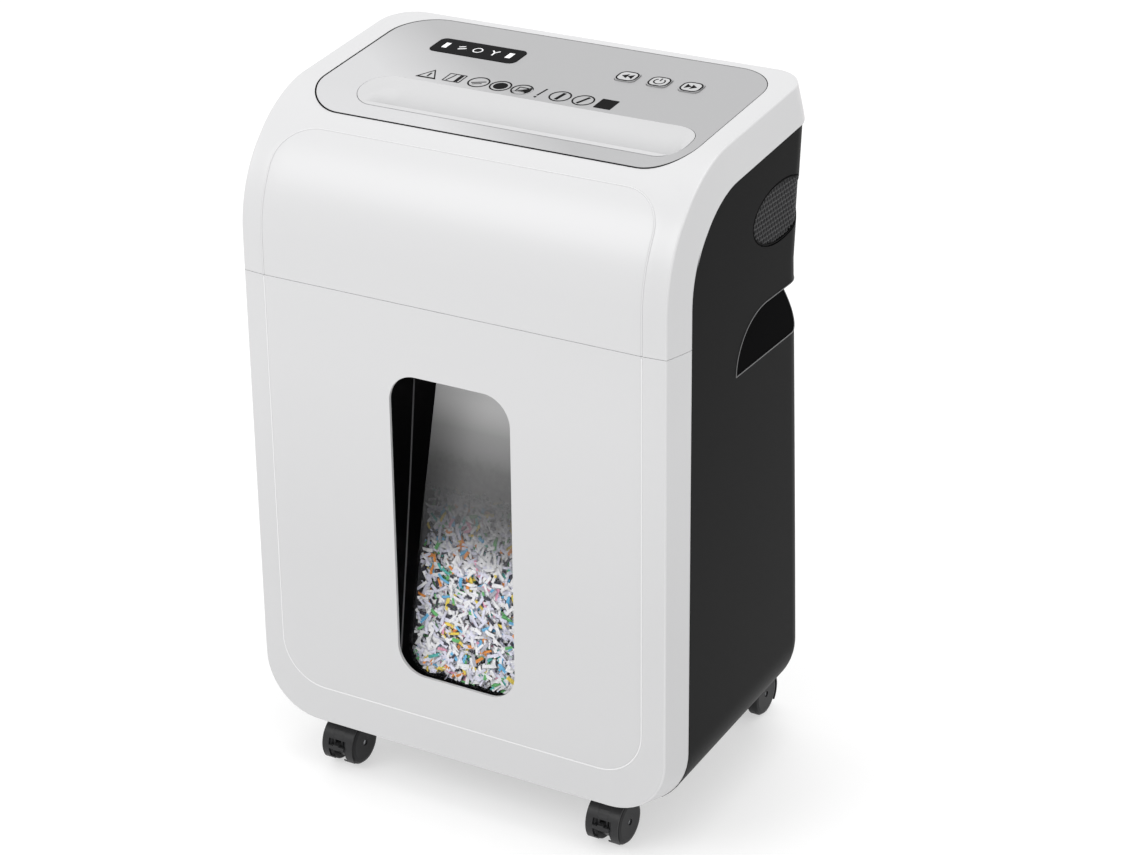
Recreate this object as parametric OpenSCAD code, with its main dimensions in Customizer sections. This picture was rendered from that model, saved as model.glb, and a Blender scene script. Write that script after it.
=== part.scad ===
// Pull-out-bin paper shredder on four twin-wheel casters.
// Millimetres. x is left to right, y runs back from the front face, z is up from the floor.
// from_front() then moves the model so that its footprint is centred on the origin.

/* [Body] */
// Overall width across the side bands
body_w = 356; // [350:1:362]
// Depth from the front face to the back of the rear casters
overall_depth = 264; // [262:1:266]
// Height of the underside of the body
body_bottom = 38; // [38:1:40]
// Height of the seam between the head and the bin front
seam_z = 400; // [398:1:402]
// Depth of the back of the head at the top
rear_top_y = 215; // [213:1:216]
// Depth of the back of the body at its waist
rear_waist_y = 206; // [205:1:208]
// Depth of the back of the body at the bottom
rear_bottom_y = 241; // [240:1:242]
// Wall thickness of the moulded covers
wall = 2.5; // [2:0.1:3]

/* [Head] */
// Radius of the curve from the front face to the top
head_r = 98; // [90:1:104]
// Slope of the top towards the back, in degrees
top_slope = 7; // [6:0.5:8]
// Width of the white band that wraps round the sides
band = 26; // [24:1:28]

/* [Control panel] */
// Width of the silver panel
panel_w = 310; // [306:1:312]
// Length of the silver panel, seen from above
panel_l = 152; // [150:1:154]
// Width of the paper slot
slot_w = 226; // [222:1:228]
// Gap of the paper slot
slot_gap = 6; // [5:0.5:7]
// How far a key travels
key_travel = 1.2; // [0.8:0.1:1.4]

/* [Bin] */
// Width of the window
window_w = 100; // [96:1:102]
// Height of the window
window_h = 239; // [230:1:240]
// Height of the bottom edge of the window
window_z = 107.5; // [106:0.5:110]
// Half width of the bin tub
tub_half = 145; // [140:1:146]

/* [Casters] */
// Wheel radius
wheel_r = 17.5; // [17:0.5:17.5]
// Distance from the stem to the axle
caster_trail = 17; // [16:0.5:17.5]

/* [Cutters] */
// Distance between the cutter shafts
shaft_gap = 38; // [38:0.1:38.2]
// Thickness of one cutter disc
disc_t = 3.9; // [3.8:0.05:3.9]

/* [Hidden] */
$fn = 48;
gap = 0.4;
fit = 0.05;
half_w = body_w / 2;
crease_half = half_w - 6;
crease_bottom = body_bottom + 5;
top_taper = 0.015;
bottom_taper = 0.06;
taper_start_y = 33;
rear_corner_r = 28;
bottom_corner_r = 52;
roof_z = 560;
waist_z = seam_z + 10;

// Curve of the head, in the plane of y and z
arc_z = seam_z + 28;
slope_start_a = 90 + top_slope;
function arc_y(depth) = head_r + (head_r - depth) * cos(slope_start_a);
function arc_top(depth) = arc_z + (head_r - depth) * sin(slope_start_a);
function roof(y, depth = 0) = arc_top(depth) + (y - arc_y(depth)) * tan(top_slope);
top_rear_z = roof(rear_top_y);

// Panel, seen from above, and the places of what it carries: u across, s up the slope from its front edge
panel_y0 = 49;
panel_corner_r = 33;
panel_t = 1.8;
panel_ledge = 5;
throat_w = 264;
throat_l = 41;
throat_u = 14.5;
throat_s = 11;
slot_s = 18;
display_w = 73;
display_l = 23;
display_u = -71;
display_s = 112.1;
key_w = 16;
key_l = 15.3;
key_us = [54.3, 79.8, 105.2];
key_s = 110.1;
function panel_y(s) = panel_y0 + s * cos(top_slope);
function panel_z(s) = roof(panel_y0) + s * sin(top_slope);
// The nip of the cutters lies straight under the slot
nip_y = panel_y(slot_s);
nip_x = 22;

// Bin and window
pane_slope = 0.2464;
pane_t = 2;
function pane_y(z) = 13.3 + pane_slope * (z - seam_z + 281);
window_r = 22;
bezel_drop = 2.5;
bezel_rise = 8;
tub_front_y = 26;
tub_rear_y = 200;
tub_floor_z = 61;
tub_top_z = 380;
tub_wall = 2.2;
heap_top_z = 272;
heap_skin = 6;

// Hand recess and vent, on both sides
recess_floor_z = seam_z - 46;
recess_top_z = seam_z - 6;
recess_front_y = 94.5;
recess_arc_y = 142;
recess_depth = 20;
// Its floor starts just inside the lip and leans in on its way up to the inner wall
recess_lip = 0.8;
recess_lean = 0.72;
vent_y = 161;
vent_z = seam_z + 55;
vent_a = 44;
vent_b = 23;

// Cutting unit
shaft_z = seam_z + 48;
front_shaft_y = nip_y - shaft_gap / 2;
rear_shaft_y = nip_y + shaft_gap / 2;
disc_pitch = 8;
disc_r = 20.8;
collar_r = 14;
hex_r = 10;
journal_r = 7;
disc_count = 28;
cut_half = disc_count * disc_pitch / 2;
frame_t = 3;
frame_gap = 1.5;
left_frame_x = nip_x - cut_half - frame_gap;
right_frame_x = nip_x + cut_half + frame_gap;
bush_r = 10;

// Gear train outside the left frame plate
sync_teeth = 19;
sync_m = 2;
drive_teeth = 42;
drive_m = 1.5;
idler_small_teeth = 14;
idler_big_teeth = 40;
motor_m = 1.25;
motor_teeth = 12;
gear_w = 9;
sync_x = left_frame_x - frame_t - 12;
drive_x = sync_x - gear_w - 2;
motor_gear_x = drive_x - gear_w - 2;
idler_a = 10;
motor_a = -25;
idler_gap = (drive_teeth + idler_small_teeth) * drive_m / 2;
motor_gap = (idler_big_teeth + motor_teeth) * motor_m / 2;
idler_y = rear_shaft_y + idler_gap * cos(idler_a);
idler_z = shaft_z + idler_gap * sin(idler_a);
motor_y = idler_y + motor_gap * cos(motor_a);
motor_z = idler_z + motor_gap * sin(motor_a);
motor_r = 29;
motor_l = 96;
pin_r = 4;

// Casters: name order is front left, front right, rear left, rear right
caster_x = 116;
front_stem_y = 44.5;
hood_t = 1.3;
rear_stem_y = overall_depth - wheel_r - hood_t - caster_trail;
wheel_w = 9;
wheel_gap = 9.4;
axle_r = 2.5;
stem_r = 4;
socket_r = 7.9;
socket_top = 58;
base_t = 3;
// Paper sensor, on the back wall of the chute
sensor_y = nip_y + 11;
sensor_z = seam_z + 88;
sensor_arm_a = -32;
sensor_pin_r = 1.5;
// Cord inlet, in the back of the head
inlet_x = -100;
inlet_z = seam_z + 22;
inlet_bore_r = 3.75;

white = [0.93, 0.93, 0.94];
silver = [0.73, 0.74, 0.75];
black = [0.10, 0.10, 0.11];
steel = [0.60, 0.61, 0.62];

// ---------------------------------------------------------------- helpers

module from_front() translate([0, -overall_depth / 2, 0]) children();

function arc_pts(cx, cy, r, a0, a1, n = 8) =
    [for (i = [0 : n]) let (a = a0 + (a1 - a0) * i / n) [cx + r * cos(a), cy + r * sin(a)]];

// Rounded rectangle with true arcs, centred on the origin
module round_rect(w, h, r) {
    square([w - 2 * r, h], center = true);
    square([w, h - 2 * r], center = true);
    for (x = [-1, 1], y = [-1, 1])
        translate([x * (w / 2 - r), y * (h / 2 - r)]) circle(r);
}

// A flat shape drawn as (y, z), extruded along x from x0 to x1
module along_x(x0, x1) translate([x0, 0, 0]) rotate([90, 0, 90]) linear_extrude(x1 - x0) children();

// A flat shape drawn as (x, z), extruded along y from y0 to y1
module along_y(y0, y1) translate([0, y1, 0]) rotate([90, 0, 0]) linear_extrude(y1 - y0) children();

// Moves a solid drawn in the panel's plane onto the sloping top
module on_panel() translate([0, panel_y(0), panel_z(0)]) rotate([top_slope, 0, 0]) children();

module rod_x(x0, x1, y, z, r, fn = 48)
    translate([x0, y, z]) rotate([0, 90, 0]) cylinder(r = r, h = x1 - x0, $fn = fn);

// ---------------------------------------------------------------- outer form

function blend(a, b, t) = a + (b - a) * t;
// The back leans out from the waist down to the floor, and out again to the rim of the head
function back_y(z) = z < waist_z
    ? blend(rear_bottom_y, rear_waist_y, (z - body_bottom) / (waist_z - body_bottom))
    : blend(rear_waist_y, rear_top_y, (z - waist_z) / (top_rear_z - waist_z));
function side_taper(z) = blend(bottom_taper, top_taper, (z - body_bottom) / (top_rear_z - body_bottom));

// Outline seen from above at one height: straight front, tapering sides, round rear corners
module plan_slice(z, inset, side_in, y_start) {
    half = half_w - inset - side_in;
    y_end = back_y(z) - inset;
    r = rear_corner_r - inset;
    corner_x = half - side_taper(z) * (y_end - r - taper_start_y) - r;
    translate([0, 0, z]) linear_extrude(0.01) polygon(concat(
        [[-half, y_start], [half, y_start], [half, taper_start_y]],
        arc_pts(corner_x, y_end - r, r, 0, 90),
        arc_pts(-corner_x, y_end - r, r, 90, 180),
        [[-half, taper_start_y]]));
}

// Whole outer form below the roof, drawn in by inset on the sides, back and bottom
module body_block(inset, y_start = 0) {
    r = bottom_corner_r - inset;
    hull() {
        for (a = [0 : 15 : 90])
            plan_slice(body_bottom + inset + r * (1 - cos(a)), inset, r * (1 - sin(a)), y_start);
        plan_slice(waist_z, inset, 0, y_start);
    }
    hull() {
        plan_slice(waist_z, inset, 0, y_start);
        plan_slice(roof_z, inset, 0, y_start);
    }
}

// Half width of the band at a depth inwards from the face
function band_half(d) = crease_half + (half_w - crease_half) * (1 - pow(1 - min(d, band) / band, 2.6));
band_steps = [0, 0.08, 0.2, 0.4, 0.7, 1];
function band_section(d0, d1, inset) = concat(
    [for (t = band_steps) let (d = d0 + t * (d1 - d0)) [band_half(d) - inset, d]],
    [for (i = [len(band_steps) - 1 : -1 : 0])
        let (d = d0 + band_steps[i] * (d1 - d0)) [inset - band_half(d), d]]);

// The band section swept up the front, round the curve and up the sloping top
sweep_overlap = 0.5;
module head_sweep(d0, d1, inset, z0) {
    section = band_section(d0, d1, inset);
    translate([0, 0, z0]) linear_extrude(arc_z - z0) polygon(section);
    translate([0, head_r, arc_z]) rotate([90, 0, -90])
        rotate_extrude(angle = 90 - top_slope, $fn = 96) polygon([for (p = section) [head_r - p[1], p[0]]]);
    translate([0, arc_y(0), arc_top(0)]) rotate([top_slope - 90, 0, 0])
        translate([0, 0, -sweep_overlap]) linear_extrude(160) polygon(section);
}

// Side view of what lies deeper than a given distance from the face and top
module inner_profile(depth) polygon(concat(
    [[depth, 0], [depth, arc_z]],
    arc_pts(head_r, arc_z, head_r - depth, 180, slope_start_a, 12),
    [[400, roof(400, depth)], [400, 0]]));

module cabinet_skin() difference() {
    intersection() {
        body_block(0);
        along_x(-200, 200) inner_profile(band + gap);
    }
    body_block(wall, -1);
}

// ---------------------------------------------------------------- head

module panel_plan(grow = 0) translate([0, panel_y0 + panel_l / 2])
    round_rect(panel_w + 2 * grow, panel_l + 2 * grow, panel_corner_r + grow);
module throat_outline(grow = 0) translate([throat_u, throat_s + throat_l / 2])
    round_rect(throat_w + 2 * grow, throat_l + 2 * grow, throat_l / 2 - 2 + grow);
module display_outline(grow = 0) translate([display_u, display_s])
    round_rect(display_w + 2 * grow, display_l + 2 * grow, 5 + grow);
module key_outline(i, grow = 0) translate([key_us[i], key_s])
    round_rect(key_w + 2 * grow, key_l + 2 * grow, 4 + grow);

module head_cover() color(white) from_front() difference() {
    intersection() {
        head_sweep(0, band, 0, seam_z + gap);
        body_block(0, -1);
    }
    intersection() {
        head_sweep(wall, band + 2, wall, seam_z - 5);
        body_block(wall, -1);
    }
    difference() {
        translate([0, 0, seam_z]) linear_extrude(300) panel_plan(gap);
        along_x(-200, 200) inner_profile(panel_t + 0.1);
    }
    translate([0, 0, seam_z]) linear_extrude(300) panel_plan(-panel_ledge);
}

module control_panel() color(silver) from_front() difference() {
    intersection() {
        along_x(-200, 200) inner_profile(0);
        translate([0, 0, seam_z]) linear_extrude(300) panel_plan();
    }
    along_x(-201, 201) inner_profile(panel_t);
    on_panel() translate([0, 0, -30]) linear_extrude(60) {
        throat_outline(gap);
        display_outline(gap);
        for (i = [0 : 2]) key_outline(i, gap);
    }
}

// Trough with a long concave slope behind the slot and a steep lip in front of it
trough_depth = 15;
trough_r = 80;
trough_low = [slot_s + slot_gap / 2, -trough_depth];
trough_high = [throat_s + throat_l - 2, 1];
trough_chord = norm(trough_high - trough_low);
trough_a = atan2(trough_high[1] - trough_low[1], trough_high[0] - trough_low[0]);
trough_half_a = asin(trough_chord / 2 / trough_r);
trough_mid = (trough_low + trough_high) / 2;
trough_centre = trough_mid + trough_r * cos(trough_half_a) * [-sin(trough_a), cos(trough_a)];
module trough_section() polygon(concat(
    [[slot_s - slot_gap / 2, 5], [slot_s - slot_gap / 2, -trough_depth]],
    arc_pts(trough_centre[0], trough_centre[1], trough_r,
        trough_a - 90 - trough_half_a, trough_a - 90 + trough_half_a),
    [[throat_s + throat_l - 2, 5]]));
chute_half = slot_w / 2 + 2.5;
chute_bottom = seam_z + 84;
module feed_throat() color(white) from_front() difference() {
    union() {
        intersection() {
            on_panel() translate([0, 0, -trough_depth - 3])
                linear_extrude(trough_depth + 4) throat_outline();
            along_x(-200, 200) inner_profile(0);
        }
        translate([nip_x - chute_half, nip_y - slot_gap / 2 - 2.5, chute_bottom])
            cube([2 * chute_half, slot_gap + 5, panel_z(slot_s) - 10 - chute_bottom]);
        for (x = [-6, 4]) translate([nip_x + x, nip_y + slot_gap / 2 + 1, sensor_z - 4]) cube([2, 13, 8]);
    }
    intersection() {
        on_panel() along_x(-200, 200) trough_section();
        on_panel() translate([0, 0, -trough_depth - 1]) linear_extrude(trough_depth + 9) throat_outline(-2);
    }
    translate([nip_x - slot_w / 2, nip_y - slot_gap / 2, chute_bottom - 1])
        cube([slot_w, slot_gap, panel_z(slot_s) - chute_bottom - 8]);
    rod_x(nip_x - 7, nip_x + 7, sensor_y, sensor_z, sensor_pin_r + fit);
    translate([nip_x - 3, nip_y, chute_bottom - 1]) cube([6, 8, sensor_z - chute_bottom + 10]);
}

module display_window() color([0.03, 0.03, 0.04]) from_front() on_panel()
    translate([0, 0, -panel_t]) linear_extrude(panel_t + 0.3) display_outline();

// Key cap with a retaining flange under the panel, and a post that reaches its switch when pressed
switch_top = -10.4;
module key(i) color(silver) from_front() on_panel() {
    translate([0, 0, -panel_t - 1.6]) linear_extrude(panel_t + 2.4) key_outline(i);
    translate([0, 0, -panel_t - 1.6]) linear_extrude(1.4) key_outline(i, 1.8);
    translate([key_us[i], key_s, switch_top + key_travel + gap]) cylinder(r = 2, h = 6);
}
module reverse_key() key(0);
module power_key() key(1);
module forward_key() key(2);

module circuit_board() color([0.10, 0.35, 0.20]) from_front() on_panel() difference() {
    union() {
        translate([-120, 92, -14]) cube([240, 42, 1.6]);
        for (i = [0 : 2]) translate([key_us[i] - 3, key_s - 3, switch_top - 2]) cube([6, 6, 2]);
        translate([display_u - 30, display_s - 5, -12.4]) cube([60, 10, 9]);
        for (u = [-20, 0, 20]) translate([u, 122, -12.4]) cylinder(r = 5, h = 9);
    }
    for (u = [-114, 114], s = [97, 129]) translate([u, s, -16]) cylinder(r = 1.6, h = 6);
}

module paper_sensor_lever() color(black) from_front() {
    rod_x(nip_x - 3.8, nip_x + 3.8, sensor_y, sensor_z, 2.8);
    rod_x(nip_x - 6, nip_x + 6, sensor_y, sensor_z, sensor_pin_r);
    translate([nip_x - 1.5, sensor_y, sensor_z]) rotate([sensor_arm_a, 0, 0])
        translate([0, -12.5, -1.2]) cube([3, 12, 2.4]);
}

// ---------------------------------------------------------------- cabinet

split_x = 124;
module recess_outline(grow) polygon(concat(
    [[300, recess_floor_z - grow]],
    [for (a = [0 : 10 : 90]) [recess_arc_y - (recess_arc_y - recess_front_y + grow) * cos(a),
        recess_floor_z - (a == 0 ? grow : 0) + (recess_top_z - recess_floor_z + grow) * sin(a)]],
    [[300, recess_top_z + grow]]));

module vent_outline(grow = 0) polygon([for (a = [0 : 10 : 350])
    [vent_y + (vent_a + grow) * cos(a), vent_z + (vent_b + grow) * sin(a)]]);

// Solid under the leaning floor; inset leaves room for a wall below it
module recess_floor(inset) {
    back = recess_lip + inset * norm([1, recess_lean]);
    translate([half_w, taper_start_y, 0]) rotate([0, 0, atan(side_taper(recess_floor_z))])
        translate([0, 240, 0]) rotate([90, 0, 0]) linear_extrude(300) polygon([
            [-120, recess_floor_z - 12], [recess_lean * 12 - back, recess_floor_z - 12],
            [-recess_lean * 45 - back, recess_floor_z + 45], [-120, recess_floor_z + 45]]);
}
module recess_cut(grow) difference() {
    along_x(half_w - recess_depth - 6 - grow, 220 + grow) recess_outline(grow);
    recess_floor(grow);
}

module right_side() {
    difference() {
        intersection() {
            cabinet_skin();
            translate([split_x, 0, 0]) cube([100, 300, roof_z]);
        }
        recess_cut(0);
        along_x(split_x, 220) vent_outline(gap);
    }
    difference() {
        intersection() {
            body_block(0.2);
            recess_cut(wall);
        }
        recess_cut(0);
    }
}
module right_side_cover() color(black) from_front() right_side();
module left_side_cover() color(black) from_front() mirror([1, 0, 0]) right_side();

// Curved grille that follows the side round into the rear corner
hex_pitch = 7;
module right_grille() difference() {
    intersection() {
        difference() {
            body_block(0.3);
            body_block(2.3, -1);
        }
        along_x(split_x, 220) vent_outline();
    }
    for (row = [-3 : 3], col = [-7 : 7]) {
        y = col * hex_pitch + (row % 2 == 0 ? 0 : hex_pitch / 2);
        z = row * hex_pitch * 0.87;
        if (pow(y / (vent_a - 5), 2) + pow(z / (vent_b - 4), 2) < 1)
            rod_x(split_x, 220, vent_y + y, vent_z + z, 2.9, 6);
    }
}
module right_vent_grille() color(black) from_front() right_grille();
module left_vent_grille() color(black) from_front() mirror([1, 0, 0]) right_grille();

screw_sites = [for (x = [-108, 108], z = [70, 210, 470]) [x, z]];
module rear_cover() color(black) from_front() difference() {
    union() {
        intersection() {
            cabinet_skin();
            translate([gap - split_x, 160, body_bottom + base_t + gap])
                cube([2 * (split_x - gap), 200, roof_z]);
        }
        translate([inlet_x, back_y(inlet_z) + 1, inlet_z]) rotate([90, 0, 0]) cylinder(r = 14, h = 5);
    }
    translate([inlet_x, 300, inlet_z]) rotate([90, 0, 0]) cylinder(r = 8.05, h = 150);
    for (s = screw_sites) translate([s[0], 300, s[1]]) rotate([90, 0, 0]) cylinder(r = 2.2, h = 150);
    for (k = [0 : 7]) translate([20 + k * 11, 150, seam_z + 30]) cube([5, 100, 44]);
    caster_sites() translate([0, 0, body_bottom])
        cylinder(r = socket_r + gap, h = socket_top + gap - body_bottom);
}

module cover_screws() color(steel) from_front() for (s = screw_sites)
    translate([s[0], back_y(s[1]) + 2.6, s[1]]) rotate([90, 0, 0]) {
        cylinder(r = 4, h = 2);
        cylinder(r = 2, h = 12);
    }

module cord_inlet() color(black) from_front()
    translate([inlet_x, back_y(inlet_z) + 1, inlet_z]) rotate([90, 0, 0]) difference() {
        union() {
            translate([0, 0, -4]) cylinder(r = 12, h = 4);
            cylinder(r = 8, h = 12);
        }
        translate([0, 0, -5]) cylinder(r = inlet_bore_r, h = 20);
    }

module caster_sites() for (x = [-1, 1], y = [front_stem_y, rear_stem_y])
    translate([x * caster_x, y, 0]) children();

module base_plate() color(black) from_front() difference() {
    union() {
        translate([-split_x + gap, band + gap + 1, body_bottom])
            cube([2 * (split_x - gap), back_y(body_bottom) - wall - band - 3, base_t]);
        caster_sites() translate([0, 0, body_bottom]) cylinder(r = socket_r, h = socket_top - body_bottom);
    }
    caster_sites() translate([0, 0, body_bottom - 1])
        cylinder(r = stem_r + fit, h = socket_top - body_bottom - 1);
}

module bin_runners() color(steel) from_front() for (x = [-100, 92])
    translate([x, 44, body_bottom + base_t])
        cube([8, 150, tub_floor_z - tub_wall - gap - body_bottom - base_t]);

deck_z = seam_z + 3;
module head_deck() color(black) from_front() difference() {
    translate([-152, band + 4, deck_z]) cube([304, 170, 3]);
    translate([nip_x - cut_half, nip_y - 28, deck_z - 1]) cube([2 * cut_half, 56, 5]);
}

// ---------------------------------------------------------------- bin

// Bottom edge of the white front, deeper towards the back like the side bands
function band_floor(d) =
    crease_bottom - (crease_bottom - body_bottom) * (1 - pow(1 - min(d, band) / band, 2.6));
module front_face_outline(inset) {
    r = bottom_corner_r - inset;
    x = half_w - inset;
    z = body_bottom + inset;
    polygon(concat(
        arc_pts(x - r, z + r, r, 0, -90),
        arc_pts(r - x, z + r, r, -90, -180),
        [[-x, 500], [x, 500]]));
}
module bin_front_block(inset, d0, d1) intersection() {
    linear_extrude(seam_z) polygon(band_section(d0, d1, inset));
    along_y(d0, d1) front_face_outline(inset);
    along_x(-200, 200) polygon(concat(
        [for (t = band_steps) let (d = d0 + t * (d1 - d0)) [d, band_floor(d) + inset]],
        [[d1, 500], [d0, 500]]));
}
module window_outline(grow = 0, drop = 0, rise = 0)
    translate([0, window_z + window_h / 2 + (rise - drop) / 2])
    round_rect(window_w + 2 * grow, window_h + 2 * grow + drop + rise, window_r + grow);

boss_sites = [for (x = [-120, 120], z = [84, 350]) [x, z]];
module bin_front() color(white) from_front() difference() {
    union() {
        difference() {
            bin_front_block(0, 0, band);
            bin_front_block(wall, wall, band + 1);
        }
        for (s = boss_sites)
            translate([s[0], tub_front_y - 0.1, s[1]]) rotate([90, 0, 0])
                cylinder(r = 5, h = tub_front_y - wall);
    }
    along_y(-1, wall + 1) window_outline();
    translate([-200, -1, seam_z - gap]) cube([400, 60, 20]);
}

// Black surround: a flange behind the front and a deepening pocket that ends at the sloping pane
module pane_side(z0, z1, back)
    polygon([[-5, z0], [pane_y(z0) + back, z0], [pane_y(z1) + back, z1], [-5, z1]]);
module window_bezel() color(black) from_front() difference() {
    union() {
        along_y(wall + 0.1, wall + 2.1) window_outline(8, bezel_drop, bezel_rise);
        intersection() {
            along_y(wall + 0.1, 100) window_outline(2.5, bezel_drop, bezel_rise);
            along_x(-80, 80) pane_side(60, 400, pane_t + 1.5);
        }
    }
    along_y(-1, 101) window_outline(0.5, bezel_drop, bezel_rise);
}
module window_pane() color([0.75, 0.78, 0.80, 0.35]) from_front() intersection() {
    along_y(0, 100) window_outline(0.4, bezel_drop, bezel_rise);
    along_x(-80, 80) polygon([for (p = [[60, 0], [400, 0], [400, pane_t], [60, pane_t]])
        [pane_y(p[0]) + p[1], p[0]]]);
}

module bezel_space(grow) intersection() {
    along_y(0, 110) window_outline(2.5 + grow, bezel_drop, bezel_rise);
    along_x(-80, 80) pane_side(60, 400, pane_t + 1.5 + grow);
}

module bin_tub() color(black) from_front() difference() {
    translate([-tub_half, tub_front_y, tub_floor_z - tub_wall])
        cube([2 * tub_half, tub_rear_y - tub_front_y, tub_top_z - tub_floor_z + tub_wall]);
    translate([tub_wall - tub_half, tub_front_y + tub_wall, tub_floor_z])
        cube([2 * (tub_half - tub_wall), tub_rear_y - tub_front_y - 2 * tub_wall, 400]);
    along_y(0, tub_front_y + 5) window_outline(3, bezel_drop, bezel_rise);
}

// Crust of the heap of cut paper: top, sides and the slope against the pane
heap_gap = tub_wall + 1;
module heap_box(inset, z0) translate([inset - tub_half + heap_gap, tub_front_y + heap_gap + inset, z0])
    cube([2 * (tub_half - heap_gap - inset), tub_rear_y - tub_front_y - 2 * (heap_gap + inset),
        heap_top_z - inset - z0]);
module shredded_paper() color([0.88, 0.88, 0.92]) from_front() difference() {
    difference() {
        heap_box(0, tub_floor_z + 0.2);
        bezel_space(0.8);
    }
    difference() {
        heap_box(heap_skin, tub_floor_z - 1);
        bezel_space(0.8 + heap_skin);
    }
}

// ---------------------------------------------------------------- cutting unit

module frame_plate() difference() {
    translate([0, 24, deck_z + 3]) cube([frame_t, 164, 76]);
    for (y = [front_shaft_y, rear_shaft_y]) rod_x(-5, 10, y, shaft_z, bush_r + fit);
    for (p = tie_sites) rod_x(-5, 10, p[0], p[1], 3.05);
}
tie_sites = [[30, deck_z + 9], [30, deck_z + 70], [112, deck_z + 9], [180, deck_z + 9], [120, deck_z + 72]];
module left_frame_plate() color(steel) from_front() difference() {
    translate([left_frame_x - frame_t, 0, 0]) frame_plate();
    rod_x(left_frame_x - 10, left_frame_x + 10, motor_y, motor_z, 9);
    rod_x(left_frame_x - 10, left_frame_x + 10, idler_y, idler_z, pin_r + fit);
}
module right_frame_plate() color(steel) from_front() translate([right_frame_x, 0, 0]) frame_plate();

module tie_rods() color(steel) from_front() for (p = tie_sites) {
    rod_x(left_frame_x + 0.1, right_frame_x - 0.1, p[0], p[1], 4.5);
    rod_x(left_frame_x - frame_t - 3, right_frame_x + frame_t + 3, p[0], p[1], 3);
}

module shaft_bearings() color([0.72, 0.55, 0.30]) from_front()
    for (x = [left_frame_x - frame_t - 1, right_frame_x - 1], y = [front_shaft_y, rear_shaft_y])
    difference() {
        rod_x(x, x + frame_t + 2, y, shaft_z, bush_r);
        rod_x(x - 1, x + frame_t + 4, y, shaft_z, journal_r + fit);
    }

module cutter_shaft(y, left_x) {
    rod_x(nip_x - cut_half, nip_x + cut_half, y, shaft_z, hex_r, 6);
    rod_x(left_x, right_frame_x + frame_t + 4, y, shaft_z, journal_r);
}
module front_cutter_shaft() color(steel) from_front() cutter_shaft(front_shaft_y, sync_x - 1);
module rear_cutter_shaft() color(steel) from_front() cutter_shaft(rear_shaft_y, drive_x - 1);

// Cutter with hooked teeth and a collar that spaces it from the next one
hook_count = 6;
module disc_outline(turn) difference() {
    circle(disc_r);
    for (i = [0 : hook_count - 1]) rotate(turn + i * 360 / hook_count)
        polygon([[disc_r - 3.4, 0], [disc_r + 1, -0.6], [disc_r + 1, 6], [disc_r - 0.2, 6]]);
}
module cutter_disc(turn) difference() {
    union() {
        linear_extrude(disc_t) disc_outline(turn);
        cylinder(r = collar_r, h = disc_pitch - 0.05);
    }
    translate([0, 0, -1]) cylinder(r = hex_r + 0.08, h = disc_pitch + 2, $fn = 6);
}
module disc_stack(y, flip, shift) for (i = [0 : disc_count - 1 - shift])
    translate([nip_x - cut_half + shift * (disc_t + 0.1) + i * disc_pitch, y, shaft_z]) rotate([0, 90, 0])
        mirror([0, flip, 0]) cutter_disc(i * 15);
module front_cutter_discs() color(steel) from_front() disc_stack(front_shaft_y, 0, 0);
module rear_cutter_discs() color(steel) from_front() disc_stack(rear_shaft_y, 1, 1);

// Comb whose fingers reach between the discs down to the collars
finger_t = 3.1;
module stripper_comb(y_bar, y_shaft, shift, side) difference() {
    union() {
        translate([left_frame_x + 0.2, y_bar - 2.5, shaft_z - 14])
            cube([right_frame_x - left_frame_x - 0.4, 5, 8]);
        for (i = [0 : disc_count - 1 - shift])
            translate([nip_x - cut_half + shift * (disc_t + 0.1) + i * disc_pitch + disc_t + 0.5,
                side < 0 ? y_bar : y_shaft + 3, shaft_z - 14])
                cube([finger_t, abs(y_bar - y_shaft) - 3, 8]);
    }
    rod_x(left_frame_x - 1, right_frame_x + 1, y_shaft, shaft_z, collar_r + 0.6);
}
module front_stripper_comb() color(black) from_front()
    stripper_comb(front_shaft_y - 24.5, front_shaft_y, 0, -1);
module rear_stripper_comb() color(black) from_front()
    stripper_comb(rear_shaft_y + 24.5, rear_shaft_y, 1, 1);

// ---------------------------------------------------------------- gears

pressure_a = 20;
backlash = 0.12;
function inv(a) = tan(a) * 180 / PI - a;
// Half of one involute tooth, as [radius, angle from the tooth's middle]
function flank(m, teeth) =
    let (rp = m * teeth / 2, rb = rp * cos(pressure_a), ra = rp + m,
        half_a = 90 / teeth - backlash / rp * 90 / PI + inv(pressure_a))
    [for (i = [0 : 5]) let (r = max(rb, rp - 1.1 * m) + (ra - max(rb, rp - 1.1 * m)) * i / 5)
        [r, half_a - inv(acos(min(1, rb / r)))]];
module gear_outline(m, teeth) {
    f = flank(m, teeth);
    root = m * teeth / 2 - 1.25 * m;
    polygon([for (t = [0 : teeth - 1]) let (c = t * 360 / teeth)
        each concat(
            [[root * cos(c - f[0][1]), root * sin(c - f[0][1])]],
            [for (p = f) [p[0] * cos(c - p[1]), p[0] * sin(c - p[1])]],
            [for (i = [5 : -1 : 0]) [f[i][0] * cos(c + f[i][1]), f[i][0] * sin(c + f[i][1])]],
            [[root * cos(c + f[0][1]), root * sin(c + f[0][1])]])]);
}
// Gear drawn in the plane of y and z, with its first tooth at the angle given from +y towards +z
module gear_x(x, y, z, m, teeth, first_a, bore_r, w = gear_w)
translate([x, y, z]) rotate([90, 0, 90]) difference() {
    linear_extrude(w) rotate(first_a) gear_outline(m, teeth);
    translate([0, 0, -1]) cylinder(r = bore_r, h = w + 2);
}
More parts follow.
